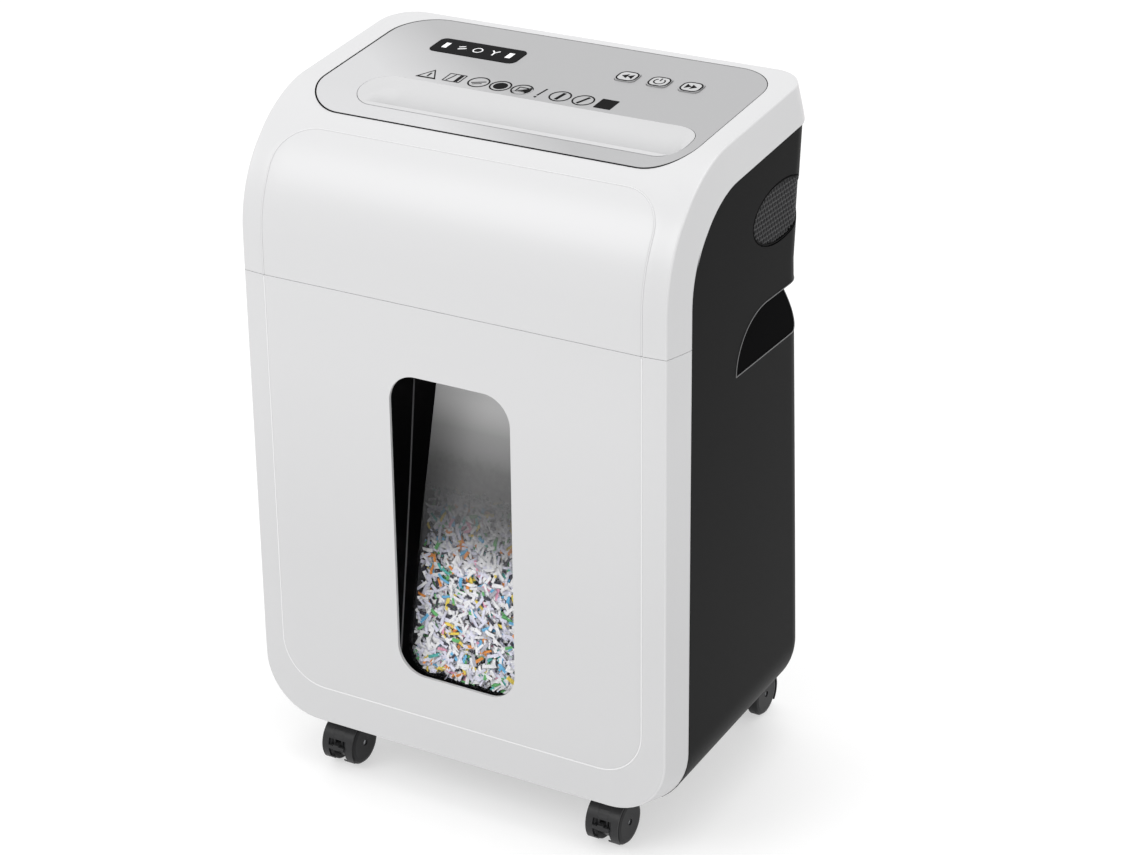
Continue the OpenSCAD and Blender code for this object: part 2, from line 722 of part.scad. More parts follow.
// First-tooth angle of gear B so that it meshes with gear A, B lying in direction a from A
function mesh_a(a, first_a, teeth_a, teeth_b) =
    a + 180 - (0.5 - teeth_a * (a - first_a) / 360) * 360 / teeth_b;
drive_first_a = 0;
rear_sync_a = 0;
front_sync_a = mesh_a(180, rear_sync_a, sync_teeth, sync_teeth);
idler_first_a = mesh_a(idler_a, drive_first_a, drive_teeth, idler_small_teeth);
motor_first_a = mesh_a(motor_a, idler_first_a, idler_big_teeth, motor_teeth);

module front_shaft_gear() color(steel) from_front()
    gear_x(sync_x, front_shaft_y, shaft_z, sync_m, sync_teeth, front_sync_a, journal_r + 0.02);
module rear_shaft_gear() color(steel) from_front()
    gear_x(sync_x, rear_shaft_y, shaft_z, sync_m, sync_teeth, rear_sync_a, journal_r + 0.02);
module drive_gear() color(steel) from_front()
    gear_x(drive_x, rear_shaft_y, shaft_z, drive_m, drive_teeth, drive_first_a, journal_r + 0.02);
module idler_gear() color([0.85, 0.85, 0.80]) from_front() {
    gear_x(motor_gear_x + gear_w - 0.5, idler_y, idler_z, drive_m, idler_small_teeth, idler_first_a,
        pin_r + fit, gear_w + 2.5);
    gear_x(motor_gear_x, idler_y, idler_z, motor_m, idler_big_teeth, idler_first_a, pin_r + fit);
}
module idler_pin() color(steel) from_front() {
    rod_x(motor_gear_x - 1.5, left_frame_x, idler_y, idler_z, pin_r);
    rod_x(drive_x + gear_w + 0.6, left_frame_x - frame_t - 0.1, idler_y, idler_z, 6.5);
}
module motor() color([0.35, 0.36, 0.38]) from_front() difference() {
    union() {
        rod_x(left_frame_x + 0.1, left_frame_x + 10, motor_y, motor_z, motor_r - 4);
        rod_x(left_frame_x + 10, left_frame_x + motor_l, motor_y, motor_z, motor_r);
        rod_x(left_frame_x + motor_l, left_frame_x + motor_l + 8, motor_y, motor_z, 12);
    }
    rod_x(left_frame_x - 1, left_frame_x + 30, motor_y, motor_z, 3 + fit);
}
module motor_pinion() color(steel) from_front() {
    gear_x(motor_gear_x, motor_y, motor_z, motor_m, motor_teeth, motor_first_a, 2.9);
    rod_x(motor_gear_x, left_frame_x + 28, motor_y, motor_z, 3);
}

// ---------------------------------------------------------------- casters

// Drawn for a stem on the z axis with the wheels trailing towards +y
module wheel_space() for (side = [0, 1]) mirror([side, 0, 0])
    rod_x(4.2, 14, caster_trail, wheel_r, wheel_r + 0.5, 64);
module hood() difference() {
    union() {
        translate([-4.2, 0, 0]) rotate([90, 0, 90]) linear_extrude(8.4) polygon(concat(
            [[-6.5, body_bottom - 2], [-6.5, 20]],
            arc_pts(caster_trail, wheel_r, 14, 200, 300, 10),
            arc_pts(caster_trail, wheel_r, wheel_r + hood_t, 0, 90, 10)));
        difference() {
            rod_x(-13.4, 13.4, caster_trail, wheel_r, wheel_r + hood_t, 64);
            translate([-20, -20, -5]) cube([40, caster_trail + 28, wheel_r + 14]);
            translate([-20, -20, -5]) cube([40, 80, 11]);
            translate([-7.6, caster_trail + 7, 8]) cube([15.2, 20, 16.5]);
            rod_x(-4.3, 4.3, caster_trail, wheel_r, wheel_r + 2, 64);
        }
        translate([0, 0, 20]) cylinder(r = 6.5, h = body_bottom - 22);
    }
    wheel_space();
    translate([0, 0, 19]) cylinder(r = stem_r - 0.02, h = 40);
    rod_x(-10, 10, caster_trail, wheel_r, axle_r + fit);
    translate([-2.6, caster_trail + 5.5, wheel_r - 6]) cube([5.2, 20, 13]);
    translate([-7.6, caster_trail + 16.5, 8]) cube([15.2, 20, 16.5]);
}
module stem() {
    translate([0, 0, 20]) cylinder(r = stem_r - 0.02, h = 20);
    translate([0, 0, 36.1]) cylinder(r = 6, h = body_bottom - 36.3);
    translate([0, 0, body_bottom]) cylinder(r = stem_r, h = socket_top - body_bottom - 3);
}
module wheel_pair() for (side = [0, 1]) mirror([side, 0, 0]) difference() {
    translate([wheel_gap / 2, caster_trail, wheel_r]) rotate([0, 90, 0]) rotate_extrude($fn = 64) polygon([
        [axle_r + 0.02, 0], [wheel_r - 1, 0], [wheel_r, 1], [wheel_r, wheel_w - 2.5],
        [wheel_r - 1.6, wheel_w - 0.6], [wheel_r - 4, wheel_w], [axle_r + 0.02, wheel_w]]);
}
module axle()
    rod_x(-wheel_gap / 2 - wheel_w + 1, wheel_gap / 2 + wheel_w - 1, caster_trail, wheel_r, axle_r);
// Brake pedal in the hood's slot: a hub on a cross pin, with a cross-shaped tread
brake_y = caster_trail + 9;
module brake_lever() {
    rod_x(-2.3, 2.3, brake_y, wheel_r + 1, 3);
    translate([-2.3, brake_y, wheel_r - 1]) cube([4.6, 11.2, 4.5]);
    translate([-7, brake_y + 9.8, wheel_r - 0.5]) cube([14, 1.4, 3]);
}

module front_left() from_front() translate([-caster_x, front_stem_y, 0]) rotate(180) children();
module front_right() from_front() translate([caster_x, front_stem_y, 0]) rotate(180) children();
module rear_left() from_front() translate([-caster_x, rear_stem_y, 0]) children();
module rear_right() from_front() translate([caster_x, rear_stem_y, 0]) children();

module front_left_caster_hood() color(black) front_left() hood();
module front_right_caster_hood() color(black) front_right() hood();
module rear_left_caster_hood() color(black) rear_left() hood();
module rear_right_caster_hood() color(black) rear_right() hood();
module front_left_caster_stem() color(steel) front_left() stem();
module front_right_caster_stem() color(steel) front_right() stem();
module rear_left_caster_stem() color(steel) rear_left() stem();
module rear_right_caster_stem() color(steel) rear_right() stem();
module front_left_caster_wheels() color(black) front_left() wheel_pair();
module front_right_caster_wheels() color(black) front_right() wheel_pair();
module rear_left_caster_wheels() color(black) rear_left() wheel_pair();
module rear_right_caster_wheels() color(black) rear_right() wheel_pair();
module front_left_caster_axle() color(steel) front_left() axle();
module front_right_caster_axle() color(steel) front_right() axle();
module rear_left_caster_axle() color(steel) rear_left() axle();
module rear_right_caster_axle() color(steel) rear_right() axle();
module front_left_brake_lever() color(black) front_left() brake_lever();
module front_right_brake_lever() color(black) front_right() brake_lever();

head_cover();
control_panel();
feed_throat();
display_window();
reverse_key();
power_key();
forward_key();
left_side_cover();
right_side_cover();
rear_cover();
left_vent_grille();
right_vent_grille();
base_plate();
bin_runners();
head_deck();
bin_front();
window_bezel();
window_pane();
bin_tub();
shredded_paper();
left_frame_plate();
right_frame_plate();
tie_rods();
shaft_bearings();
front_cutter_shaft();
rear_cutter_shaft();
front_cutter_discs();
rear_cutter_discs();
front_stripper_comb();
rear_stripper_comb();
front_shaft_gear();
rear_shaft_gear();
drive_gear();
idler_gear();
idler_pin();
motor();
motor_pinion();
circuit_board();
paper_sensor_lever();
cord_inlet();
cover_screws();
front_left_caster_hood();
front_right_caster_hood();
rear_left_caster_hood();
rear_right_caster_hood();
front_left_caster_stem();
front_right_caster_stem();
rear_left_caster_stem();
rear_right_caster_stem();
front_left_caster_wheels();
front_right_caster_wheels();
rear_left_caster_wheels();
rear_right_caster_wheels();
front_left_caster_axle();
front_right_caster_axle();
rear_left_caster_axle();
rear_right_caster_axle();
front_left_brake_lever();
front_right_brake_lever();
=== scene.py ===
from math import acos, cos, dist, hypot, pi, radians, sin, sqrt, tan
import random

import bmesh
import bpy
import numpy as np
from mathutils import Matrix, Vector, noise
from mathutils.geometry import delaunay_2d_cdt


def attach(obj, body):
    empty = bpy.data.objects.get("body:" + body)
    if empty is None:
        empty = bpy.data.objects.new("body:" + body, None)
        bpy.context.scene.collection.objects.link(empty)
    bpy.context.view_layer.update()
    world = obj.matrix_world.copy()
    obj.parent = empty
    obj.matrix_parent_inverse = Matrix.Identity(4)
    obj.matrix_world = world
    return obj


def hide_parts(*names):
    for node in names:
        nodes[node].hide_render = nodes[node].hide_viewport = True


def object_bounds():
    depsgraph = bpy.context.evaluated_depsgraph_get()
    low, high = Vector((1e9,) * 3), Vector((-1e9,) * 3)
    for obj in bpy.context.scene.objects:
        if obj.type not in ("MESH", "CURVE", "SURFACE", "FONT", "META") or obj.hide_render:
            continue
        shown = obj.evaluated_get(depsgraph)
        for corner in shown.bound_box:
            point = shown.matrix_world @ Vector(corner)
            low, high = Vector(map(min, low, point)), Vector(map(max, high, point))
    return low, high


# Sizes are millimetres unless a name ends in _m. x is to the right, y runs back from the front face, and
# z is up from the floor. s is the length up the front from the floor and back over the top. For marks, keys
# and the display it is the length up the slope from the panel's front edge. A piece's looks are keys of
# MATS, and the material numbers of its faces count through them.
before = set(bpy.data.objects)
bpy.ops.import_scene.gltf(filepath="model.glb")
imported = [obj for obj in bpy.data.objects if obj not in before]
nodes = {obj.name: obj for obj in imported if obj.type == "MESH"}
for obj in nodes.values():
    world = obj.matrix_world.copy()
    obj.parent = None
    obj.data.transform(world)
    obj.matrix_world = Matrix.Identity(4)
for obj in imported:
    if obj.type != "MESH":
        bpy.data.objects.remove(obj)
cad_box = [list(corner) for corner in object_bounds()]
MM = 0.001
FRONT_M = cad_box[0][1]

SEAM_Z = 400.0
SEAM_GAP = 0.18
HALF_W = 178.0
CREASE_X = 172.0
BAND = 26.0
ARC_Z = 428.0
HEAD_R = 98.0
SLOPE = radians(7)
ARC_LEN = HEAD_R * (pi / 2 - SLOPE)
SLOPE_Y = HEAD_R * (1 - sin(SLOPE))
SLOPE_Z = ARC_Z + HEAD_R * cos(SLOPE)
BODY_BOTTOM = 38.0
REAR_TOP_Y = 215.0
PANEL_Y0 = 49.0
PANEL_X = 1.5
PANEL_MID = PANEL_Y0 + 76.0
WINDOW_Z = (107.5, 346.5)
WINDOW_HALF = 50.0
WINDOW_R = 22.0


def row(x, y, z):
    """A point in millimetres, as a point in the row frame in metres."""
    return Vector((x * MM, FRONT_M + y * MM, z * MM))


# ---------------- materials


def new_nodes(name):
    material = bpy.data.materials.new(name)
    material.use_nodes = True
    tree = material.node_tree
    return material, tree, tree.nodes["Principled BSDF"]


def node(tree, kind, **inputs):
    """A shader node with some of its inputs set. An underscore in an input's name stands for a space."""
    made = tree.nodes.new("ShaderNode" + kind)
    for name, value in inputs.items():
        made.inputs[name.replace("_", " ")].default_value = value
    return made


def object_coords(tree):
    return node(tree, "TexCoord").outputs["Object"]


def noise_node(tree, scale, detail=2.0, stretch=(1, 1, 1)):
    """Noise in the piece's own coordinates, in cells per metre."""
    mapping = node(tree, "Mapping", Scale=stretch)
    texture = node(tree, "TexNoise", Scale=scale, Detail=detail)
    tree.links.new(object_coords(tree), mapping.inputs["Vector"])
    tree.links.new(mapping.outputs["Vector"], texture.inputs["Vector"])
    return texture.outputs["Fac"]


def range_node(tree, source, **ends):
    """Maps a value from one range to another."""
    span = node(tree, "MapRange", **ends)
    tree.links.new(source, span.inputs["Value"])
    return span.outputs["Result"]


def jitter_node(tree, source, wobble, amount):
    """Adds an amount of noise to a value."""
    total = node(tree, "Math")
    total.operation = "MULTIPLY_ADD"
    total.inputs[1].default_value = amount
    tree.links.new(wobble, total.inputs[0])
    tree.links.new(source, total.inputs[2])
    return total.outputs["Value"]


def ramp_node(tree, source, stops):
    """Colour ramp through stops of position and colour, the two outer ones first."""
    ramp = node(tree, "ValToRGB")
    elements = ramp.color_ramp.elements
    for k, (position, colour) in enumerate(stops):
        stop = elements[k] if k < 2 else elements.new(position)
        stop.position = position
        stop.color = (*colour, 1)
    tree.links.new(source, ramp.inputs["Fac"])
    return ramp.outputs["Color"]


CLOUD_SCALE = 18.0
ROUGH_SPREAD = 0.04
RELIEF_M = 0.0006


def slope_node(tree, direction, start, end):
    """0 to 1 along a direction through the object, with a little noise in it."""
    along = node(tree, "VectorMath")
    along.operation = "DOT_PRODUCT"
    along.inputs[1].default_value = direction
    tree.links.new(object_coords(tree), along.inputs[0])
    span = range_node(tree, along.outputs["Value"], From_Min=start, From_Max=end)
    return jitter_node(tree, span, noise_node(tree, CLOUD_SCALE), 0.05)


def surface(name, colour, rough, grain=900.0, bump=0.02, spread=0.03, stretch=(1, 1, 1),
            metallic=0.0, specular=0.5, fade=None):
    """A surface with slow colour variation, fine grain in the bump, and roughness that wanders a little.
    fade is (direction, start, end, factor): the colour changes by that factor along the direction."""
    material, tree, shader = new_nodes(name)
    if fade:
        amount = slope_node(tree, *fade[:3])
        low, high = colour, [min(1.0, c * fade[3]) for c in colour]
    else:
        amount = noise_node(tree, CLOUD_SCALE)
        low, high = [c * (1 - spread) for c in colour], [min(1.0, c * (1 + spread)) for c in colour]
    tree.links.new(ramp_node(tree, amount, [(0.3, low), (0.7, high)]), shader.inputs["Base Color"])
    fine = noise_node(tree, grain, 3.0, stretch)
    wander = range_node(tree, fine, To_Min=rough - ROUGH_SPREAD, To_Max=rough + ROUGH_SPREAD)
    tree.links.new(wander, shader.inputs["Roughness"])
    relief = node(tree, "Bump", Strength=bump, Distance=RELIEF_M)
    tree.links.new(fine, relief.inputs["Height"])
    tree.links.new(relief.outputs["Normal"], shader.inputs["Normal"])
    shader.inputs["Metallic"].default_value = metallic
    shader.inputs["Specular IOR Level"].default_value = specular
    return material


MATS = {
    # The shell's colour grows lighter higher up: painted light from above.
    "shell": surface("shell_white", (0.535, 0.535, 0.54), 0.34, bump=0.015,
                     fade=((0, 0, 1), 0.08, 0.46, 1.06)),
    "throat": surface("throat_white", (0.50, 0.50, 0.505), 0.36, bump=0.02, spread=0.01),
    # The panel's colour grows lighter towards its front left: painted light from the key lamp's side.
    "silver": surface("panel_silver", (0.375, 0.375, 0.38), 0.38, grain=2600.0, bump=0.06,
                      metallic=0.25, fade=((-3.0, -4.4, 0), -0.1, 0.75, 1.45)),
    "gloss_black": surface("display_black", (0.003, 0.003, 0.0035), 0.20, bump=0.01, specular=0.02),
    "cover": surface("cover_black", (0.0026, 0.0026, 0.0028), 0.42, grain=1500.0, bump=0.10,
                     spread=0.08, specular=0.028),
    # Black trim. On the hand recess's inner faces this darker black is painted shade.
    "trim_and_recess_shade": surface("trim_black", (0.001, 0.001, 0.0012), 0.40, bump=0.04, spread=0.06, specular=0.015),
    "inner": surface("inner_plastic", (0.030, 0.030, 0.032), 0.50, bump=0.05, spread=0.08, specular=0.3),
    "caster": surface("caster_black", (0.024, 0.024, 0.025), 0.36, grain=1200.0, bump=0.06,
                      spread=0.10, specular=0.20),
    "wheel": surface("wheel_grey", (0.012, 0.012, 0.013), 0.46, grain=1200.0, bump=0.08,
                     spread=0.10, specular=0.20),
    "rubber": surface("rubber_black", (0.012, 0.012, 0.012), 0.70, bump=0.12, spread=0.10),
    "plate": surface("sheet_steel", (0.50, 0.51, 0.53), 0.38, grain=500.0, bump=0.06,
                     stretch=(1, 1, 14), metallic=1.0),
    "cutter": surface("cutter_steel", (0.36, 0.36, 0.38), 0.30, bump=0.10,
                      spread=0.12, metallic=1.0),
    "machined": surface("gear_steel", (0.46, 0.47, 0.49), 0.28, grain=1100.0, bump=0.08,
                        stretch=(8, 1, 1), metallic=1.0),
    "bronze": surface("bearing_bronze", (0.55, 0.36, 0.16), 0.42, bump=0.12, spread=0.12, metallic=1.0),
    "nylon": surface("gear_nylon", (0.72, 0.70, 0.62), 0.45, bump=0.04),
    "motor": surface("motor_grey", (0.12, 0.12, 0.13), 0.40, bump=0.05, spread=0.08, metallic=0.4),
    "board": surface("board_green", (0.015, 0.14, 0.06), 0.35, grain=300.0, bump=0.10, spread=0.15),
    # Lightest copy of the shell: painted highlight on the bin's bevelled edges and its groove bead.
    "painted_highlight": surface("shell_painted_highlight", (0.70, 0.70, 0.705), 0.30, bump=0.01, spread=0.004),
    # Lighter copy of the shell: painted highlight on the crease and the head's groove bead.
    "crease": surface("shell_crease_painted_highlight", (0.62, 0.62, 0.625), 0.30, bump=0.01, spread=0.004),
    # Lighter black: painted highlight along the hand recess's rounded edge.
    "cover_edge_painted_highlight": surface("cover_edge_painted_highlight", (0.15, 0.15, 0.152), 0.38, bump=0.04, specular=0.3),
    "strand": surface("grille_strand", (0.05, 0.05, 0.052), 0.36, bump=0.04, specular=0.35),
    # Grey on the window's side ribs: painted highlight on the black walls.
    "rib_painted_highlight": surface("rib_painted_highlight", (0.085, 0.085, 0.088), 0.35, bump=0.03, specular=0.3),
    # Darker grey on the slot's walls: painted shade in the slot.
    "slot": surface("slot_wall_painted_shade", (0.16, 0.16, 0.162), 0.45, bump=0.02, spread=0.02),
    "key_face": surface("key_face", (0.46, 0.46, 0.465), 0.40, bump=0.02, spread=0.01),
    # Dark block under the loose paper: painted shade deep in the heap.
    "heap_painted_shade": surface("paper_core_painted_shade", (0.05, 0.05, 0.06), 0.85, grain=500.0, bump=0.2, spread=0.3),
    "mark": surface("printed_mark", (0.003, 0.003, 0.0032), 0.50, bump=0.02, specular=0.04),
    "light_mark": surface("display_mark", (0.85, 0.85, 0.86), 0.40, bump=0.02),
}


def pane_material():
    """Clear pane whose upper part turns lighter grey and less clear, a painted reflection."""
    material, tree, shader = new_nodes("window_clear")
    shader.inputs["Roughness"].default_value = 0.30
    shader.inputs["Specular IOR Level"].default_value = 0.45
    split = node(tree, "SeparateXYZ")
    tree.links.new(object_coords(tree), split.inputs["Vector"])
    height = range_node(tree, split.outputs["Z"], From_Min=0.185, From_Max=0.339)
    # The grey rising towards the top and the opacity rising with it are a painted reflection.
    painted_reflection_tones = [(0.30, (0.12, 0.12, 0.122)), (0.90, (0.92, 0.92, 0.922)), (0.50, (0.15,) * 3),
             (0.66, (0.33,) * 3), (0.79, (0.70,) * 3)]
    tree.links.new(ramp_node(tree, height, painted_reflection_tones), shader.inputs["Base Color"])
    painted_reflection_mask = jitter_node(tree, height, noise_node(tree, 260.0, 4.0), 0.16)
    painted_reflection_alpha = ramp_node(tree, painted_reflection_mask, [(0.06, (0.02,) * 3), (0.62, (0.97,) * 3)])
    tree.links.new(painted_reflection_alpha, shader.inputs["Alpha"])
    return material


def paper_material(name, colour):
    return surface(name, colour, 0.80, grain=700.0, bump=0.05, spread=0.05, specular=0.2)


PAPER = [paper_material("paper_" + name, colour) for name, colour in [
    ("white", (0.93, 0.93, 0.95)), ("cool", (0.80, 0.80, 0.93)), ("grey", (0.48, 0.48, 0.54)),
    ("ink", (0.06, 0.06, 0.08)), ("green", (0.16, 0.52, 0.18)), ("yellow", (0.90, 0.70, 0.12)),
    ("orange", (0.86, 0.32, 0.07)), ("blue", (0.16, 0.50, 0.80)), ("teal", (0.10, 0.48, 0.44)),
    ("pink", (0.82, 0.38, 0.52))]]
PAPER_WEIGHTS = [46, 26, 5, 8, 4, 3, 3, 4, 3, 2]


# ---------------- mesh helpers


def new_object(name, data):
    obj = bpy.data.objects.new(name, data)
    bpy.context.scene.collection.objects.link(obj)
    return obj


def piece(name, mesh, materials, body):
    """An object in the frame that rides on a body and belongs to a material slot."""
    obj = new_object(name, mesh)
    for material in materials:
        mesh.materials.append(material)
    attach(obj, body)
    return obj


def soften(obj, width, segments=2, angle=35.0):
    bevel = obj.modifiers.new("edges", "BEVEL")
    bevel.width = width * MM
    bevel.segments = segments
    bevel.limit_method = "ANGLE"
    bevel.angle_limit = radians(angle)
    bevel.harden_normals = True
    return bevel


def thicken(obj, thickness):
    shell = obj.modifiers.new("wall", "SOLIDIFY")
    shell.thickness = thickness * MM
    shell.offset = -1.0


def mesh_of(name, bm, probe, facing, sharp):
    """Welds the parts of bm, turns its faces so that the one nearest the probe looks the way of facing, and
    shades them smooth, but sharp at borders and where faces meet at more than the sharp angle."""
    bmesh.ops.remove_doubles(bm, verts=bm.verts, dist=2e-6)
    bmesh.ops.dissolve_degenerate(bm, edges=bm.edges, dist=1e-6)
    bmesh.ops.recalc_face_normals(bm, faces=bm.faces)
    bm.normal_update()
    nearest = min(bm.faces, key=lambda f: (f.calc_center_median() - probe).length)
    if nearest.normal.dot(Vector(facing)) < 0:
        bmesh.ops.reverse_faces(bm, faces=bm.faces)
    for face in bm.faces:
        face.smooth = True
    limit = radians(sharp)
    for edge in bm.edges:
        edge.smooth = not (edge.is_boundary or edge.calc_face_angle(0.0) > limit)
    mesh = bpy.data.meshes.new(name)
    bm.to_mesh(mesh)
    bm.free()
    return mesh


def form(name, bm, looks, body, probe, facing, sharp=38.0):
    """A piece made of the parts of bm, in the looks that its faces' material numbers stand for."""
    return piece(name, mesh_of(name, bm, probe, facing, sharp), [MATS[look] for look in looks], body)


def fill_ends(bm):
    """Closes the open ends of a swept section."""
    bmesh.ops.remove_doubles(bm, verts=bm.verts, dist=2e-6)
    bmesh.ops.holes_fill(bm, edges=[edge for edge in bm.edges if edge.is_boundary])


def inside(points, loop):
    """Which of the points lie inside the closed loop."""
    x, y = points[:, 0][:, None], points[:, 1][:, None]
    ring = np.asarray(loop, float)
    x0, y0 = ring[:, 0], ring[:, 1]
    x1, y1 = np.roll(x0, -1), np.roll(y0, -1)
    with np.errstate(divide="ignore", invalid="ignore"):
        cross = ((y0 > y) != (y1 > y)) & (x < (x1 - x0) * (y - y0) / (y1 - y0) + x0)
    return cross.sum(1) % 2 == 1


def clear_of(points, lines, gap):
    """Which of the points are further than gap from every segment of the lines."""
    keep = np.ones(len(points), bool)
    for line in lines:
        p = np.asarray(line, float)
        a, d = p[:-1], p[1:] - p[:-1]
        length = np.maximum((d * d).sum(1), 1e-12)
        v = points[:, None, :] - a[None]
        t = np.clip((v * d[None]).sum(2) / length, 0, 1)
        off = v - t[..., None] * d[None]
        keep &= (off * off).sum(2).min(1) > gap * gap
    return keep


def add_domain(bm, outer, holes, lines, grid, place, gap=1.5):
    """Triangulates a flat domain with holes and lines in it, and places each of its points in space."""
    closed = [list(loop) + [loop[0]] for loop in [outer, *holes]]
    grid = np.asarray(grid, float)
    grid = grid[clear_of(grid, closed + list(lines), gap)]
    grid = grid[inside(grid, outer)]
    verts, edges = [], []
    for line in closed + list(lines):
        start = len(verts)
        verts.extend(Vector(p) for p in line)
        edges.extend((start + i, start + i + 1) for i in range(len(line) - 1))
    verts.extend(Vector(p) for p in grid)
    found = delaunay_2d_cdt(verts, edges, [], 0, 1e-5)
    flat, faces = np.array([list(v) for v in found[0]]), np.array([list(f) for f in found[2]])
    middle = flat[faces].mean(1)
    keep = inside(middle, outer)
    for hole in holes:
        keep &= ~inside(middle, hole)
    faces = faces[keep]
    used = {i: bm.verts.new(place(*flat[i])) for i in sorted(set(faces.ravel().tolist()))}
    for face in faces:
        bm.faces.new([used[i] for i in face])


def add_strip(bm, rows, close=False, looks=None):
    """Quads between rows of points. close joins the last point of each row to its first, and looks holds
    the material number of the quads after each row."""
    grid = [[bm.verts.new(p) for p in line] for line in rows]
    count = len(rows[0])
    for k, (a, b) in enumerate(zip(grid[:-1], grid[1:])):
        for i in range(count if close else count - 1):
            j = (i + 1) % count
            face = bm.faces.new([a[i], a[j], b[j], b[i]])
            face.material_index = looks[k] if looks else 0


def arc(cx, cy, r, start, end, count):
    """Points round an arc, with their outward directions, angles in degrees."""
    out = []
    for i in range(count + 1):
        a = radians(start + (end - start) * i / count)
        out.append((cx + r * cos(a), cy + r * sin(a), cos(a), sin(a)))
    return out


def round_rect(cx, cy, w, h, r, count=12, step=6.0):
    """Closed outline of a rounded rectangle, with points along its sides too."""
    corners = [(cx + w / 2 - r, cy + h / 2 - r, 0), (cx - w / 2 + r, cy + h / 2 - r, 90),
               (cx - w / 2 + r, cy - h / 2 + r, 180), (cx + w / 2 - r, cy - h / 2 + r, 270)]
    points = []
    for x, y, a in corners:
        points += [p[:2] for p in arc(x, y, r, a, a + 90, count)]
    out = []
    for i, p in enumerate(points):
        q = points[(i + 1) % len(points)]
        parts = max(1, round(dist(p, q) / step))
        out += [(p[0] + (q[0] - p[0]) * k / parts, p[1] + (q[1] - p[1]) * k / parts) for k in range(parts)]
    return out


def plain_rect(u, s, w, h, r, count=6):
    """Rounded rectangle with no points along its sides, for flat marks."""
    return round_rect(u, s, w, h, r, count, 50.0)


# ---------------- white skins


def profile(s):
    """Side view of the front and top, by length up from the floor: y, z and the outward direction."""
    if s < ARC_Z:
        return 0.0, s, -1.0, 0.0
    a = (s - ARC_Z) / HEAD_R
    if s < ARC_Z + ARC_LEN:
        return HEAD_R * (1 - cos(a)), ARC_Z + HEAD_R * sin(a), -cos(a), sin(a)
    t = s - ARC_Z - ARC_LEN
    return SLOPE_Y + t * cos(SLOPE), SLOPE_Z + t * sin(SLOPE), -sin(SLOPE), cos(SLOPE)


def length_at(y):
    """Length up from the floor at which the profile reaches a depth y."""
    if y < SLOPE_Y:
        return ARC_Z + HEAD_R * acos(1 - y / HEAD_R)
    return ARC_Z + ARC_LEN + (y - SLOPE_Y) / cos(SLOPE)


def on_skin(x, s, depth=0.0):
    y, z, ny, nz = profile(s)
    return row(x, y - ny * depth, z - nz * depth)


def half_ring(half, start, end, r, count=14, step=4.0):
    """Open outline from the right of the seam, round the end and back: points with outward directions."""
    sign = 1.0 if end > start else -1.0
    straight = max(2, round(abs(end - start - sign * r) / step))
    right = [(half, start + (end - sign * r - start) * i / straight, 1.0, 0.0) for i in range(straight)]
    corner = [(x, end - sign * r + sign * v, nx, sign * nv)
              for x, v, nx, nv in arc(half - r, 0.0, r, 0, 90, count)]
    half_line = right + corner
    across = max(2, round(2 * (half - r) / 8.0))
    flat = [((half - r) * (1 - 2 * i / across), end, 0.0, sign) for i in range(1, across)]
    return half_line + flat + [(-x, s, -nx, ns) for x, s, nx, ns in reversed(half_line)]


def offset(ring, by):
    return [(x + by * nx, s + by * ns) for x, s, nx, ns in ring]


GROOVE_X = 154.0
GROOVE_S = (74.0, length_at(35.5))
GROOVE_R = (36.0, 32.0)
GROOVE_OFFSETS = [-1.3, -0.75, -0.25, 0.25, 0.75, 1.3]
GROOVE_DEPTHS = [0.0, 0.06, 0.42, 0.42, 0.12, 0.10]
MARGIN_FALL = 1.5


def groove_distance(x, s):
    """Signed distance from the outline of the inner face, negative inside it."""
    middle = sum(GROOVE_S) / 2
    r = GROOVE_R[0] if s < middle else GROOVE_R[1]
    qx = abs(x) - (GROOVE_X - r)
    qs = abs(s - middle) - ((GROOVE_S[1] - GROOVE_S[0]) / 2 - r)
    return hypot(max(qx, 0), max(qs, 0)) + min(max(qx, qs), 0) - r


def face_depth(x, s):
    """Depth of the face under the plain form: a fine groove, and outside it a margin that falls away."""
    d = groove_distance(x, s)
    depth = float(np.interp(d, GROOVE_OFFSETS, GROOVE_DEPTHS))
    fade = min(1.0, max(0.0, (560.0 - s) / 60.0))
    fall = MARGIN_FALL * min(1.0, max(0.0, (d - 1.3) / 17.0)) * fade
    return depth * (fade if d > 1.0 else 1.0) + fall


# Out from the crease, depth below the face, and the look of the faces up to the next point
# Rows with look 2 run along the crease in a lighter look, a painted highlight.
BAND_PROFILE = [(-3.2, 0.0, 0), (-1.6, 0.0, 0), (-0.8, 0.06, 2), (-0.35, 0.25, 2), (0.0, 0.62, 2),
                (0.28, 1.2, 0), (0.5, 2.0, 0), (1.1, 4.2, 0), (2.3, 8.5, 0), (3.7, 14.0, 0),
                (5.0, 19.5, 0), (5.8, 24.0, 0), (6.0, 25.9, 0)]
BAND_INNER = BAND_PROFILE[0][0]
REAR_REACH = 0.95
# The second and third looks are lighter copies of the shell: painted highlights on the crease, the groove
# beads and the bin's bevelled edges.
WHITE_LOOKS = ["shell", "painted_highlight", "crease"]


def add_band(bm, ring):
    """The rounded crease and the side band beyond it, which at the rear stays almost upright."""
    rows = []
    for out, deep, look in BAND_PROFILE:
        line = []
        for x, s, nx, ns in ring:
            base = face_depth(x + BAND_INNER * nx, s + BAND_INNER * ns)
            reach = out * (1 - REAR_REACH * max(0.0, ns)) if out > 0 else out
            line.append(on_skin(x + reach * nx, s + reach * ns, base + deep))
        rows.append(line)
    add_strip(bm, rows, looks=[look for out, deep, look in BAND_PROFILE])


LINE_SECTION = [(-0.58, 0.5), (-0.54, 0.06), (-0.3, -0.12), (0.0, -0.18), (0.3, -0.12), (0.54, 0.06),
                (0.58, 0.5)]


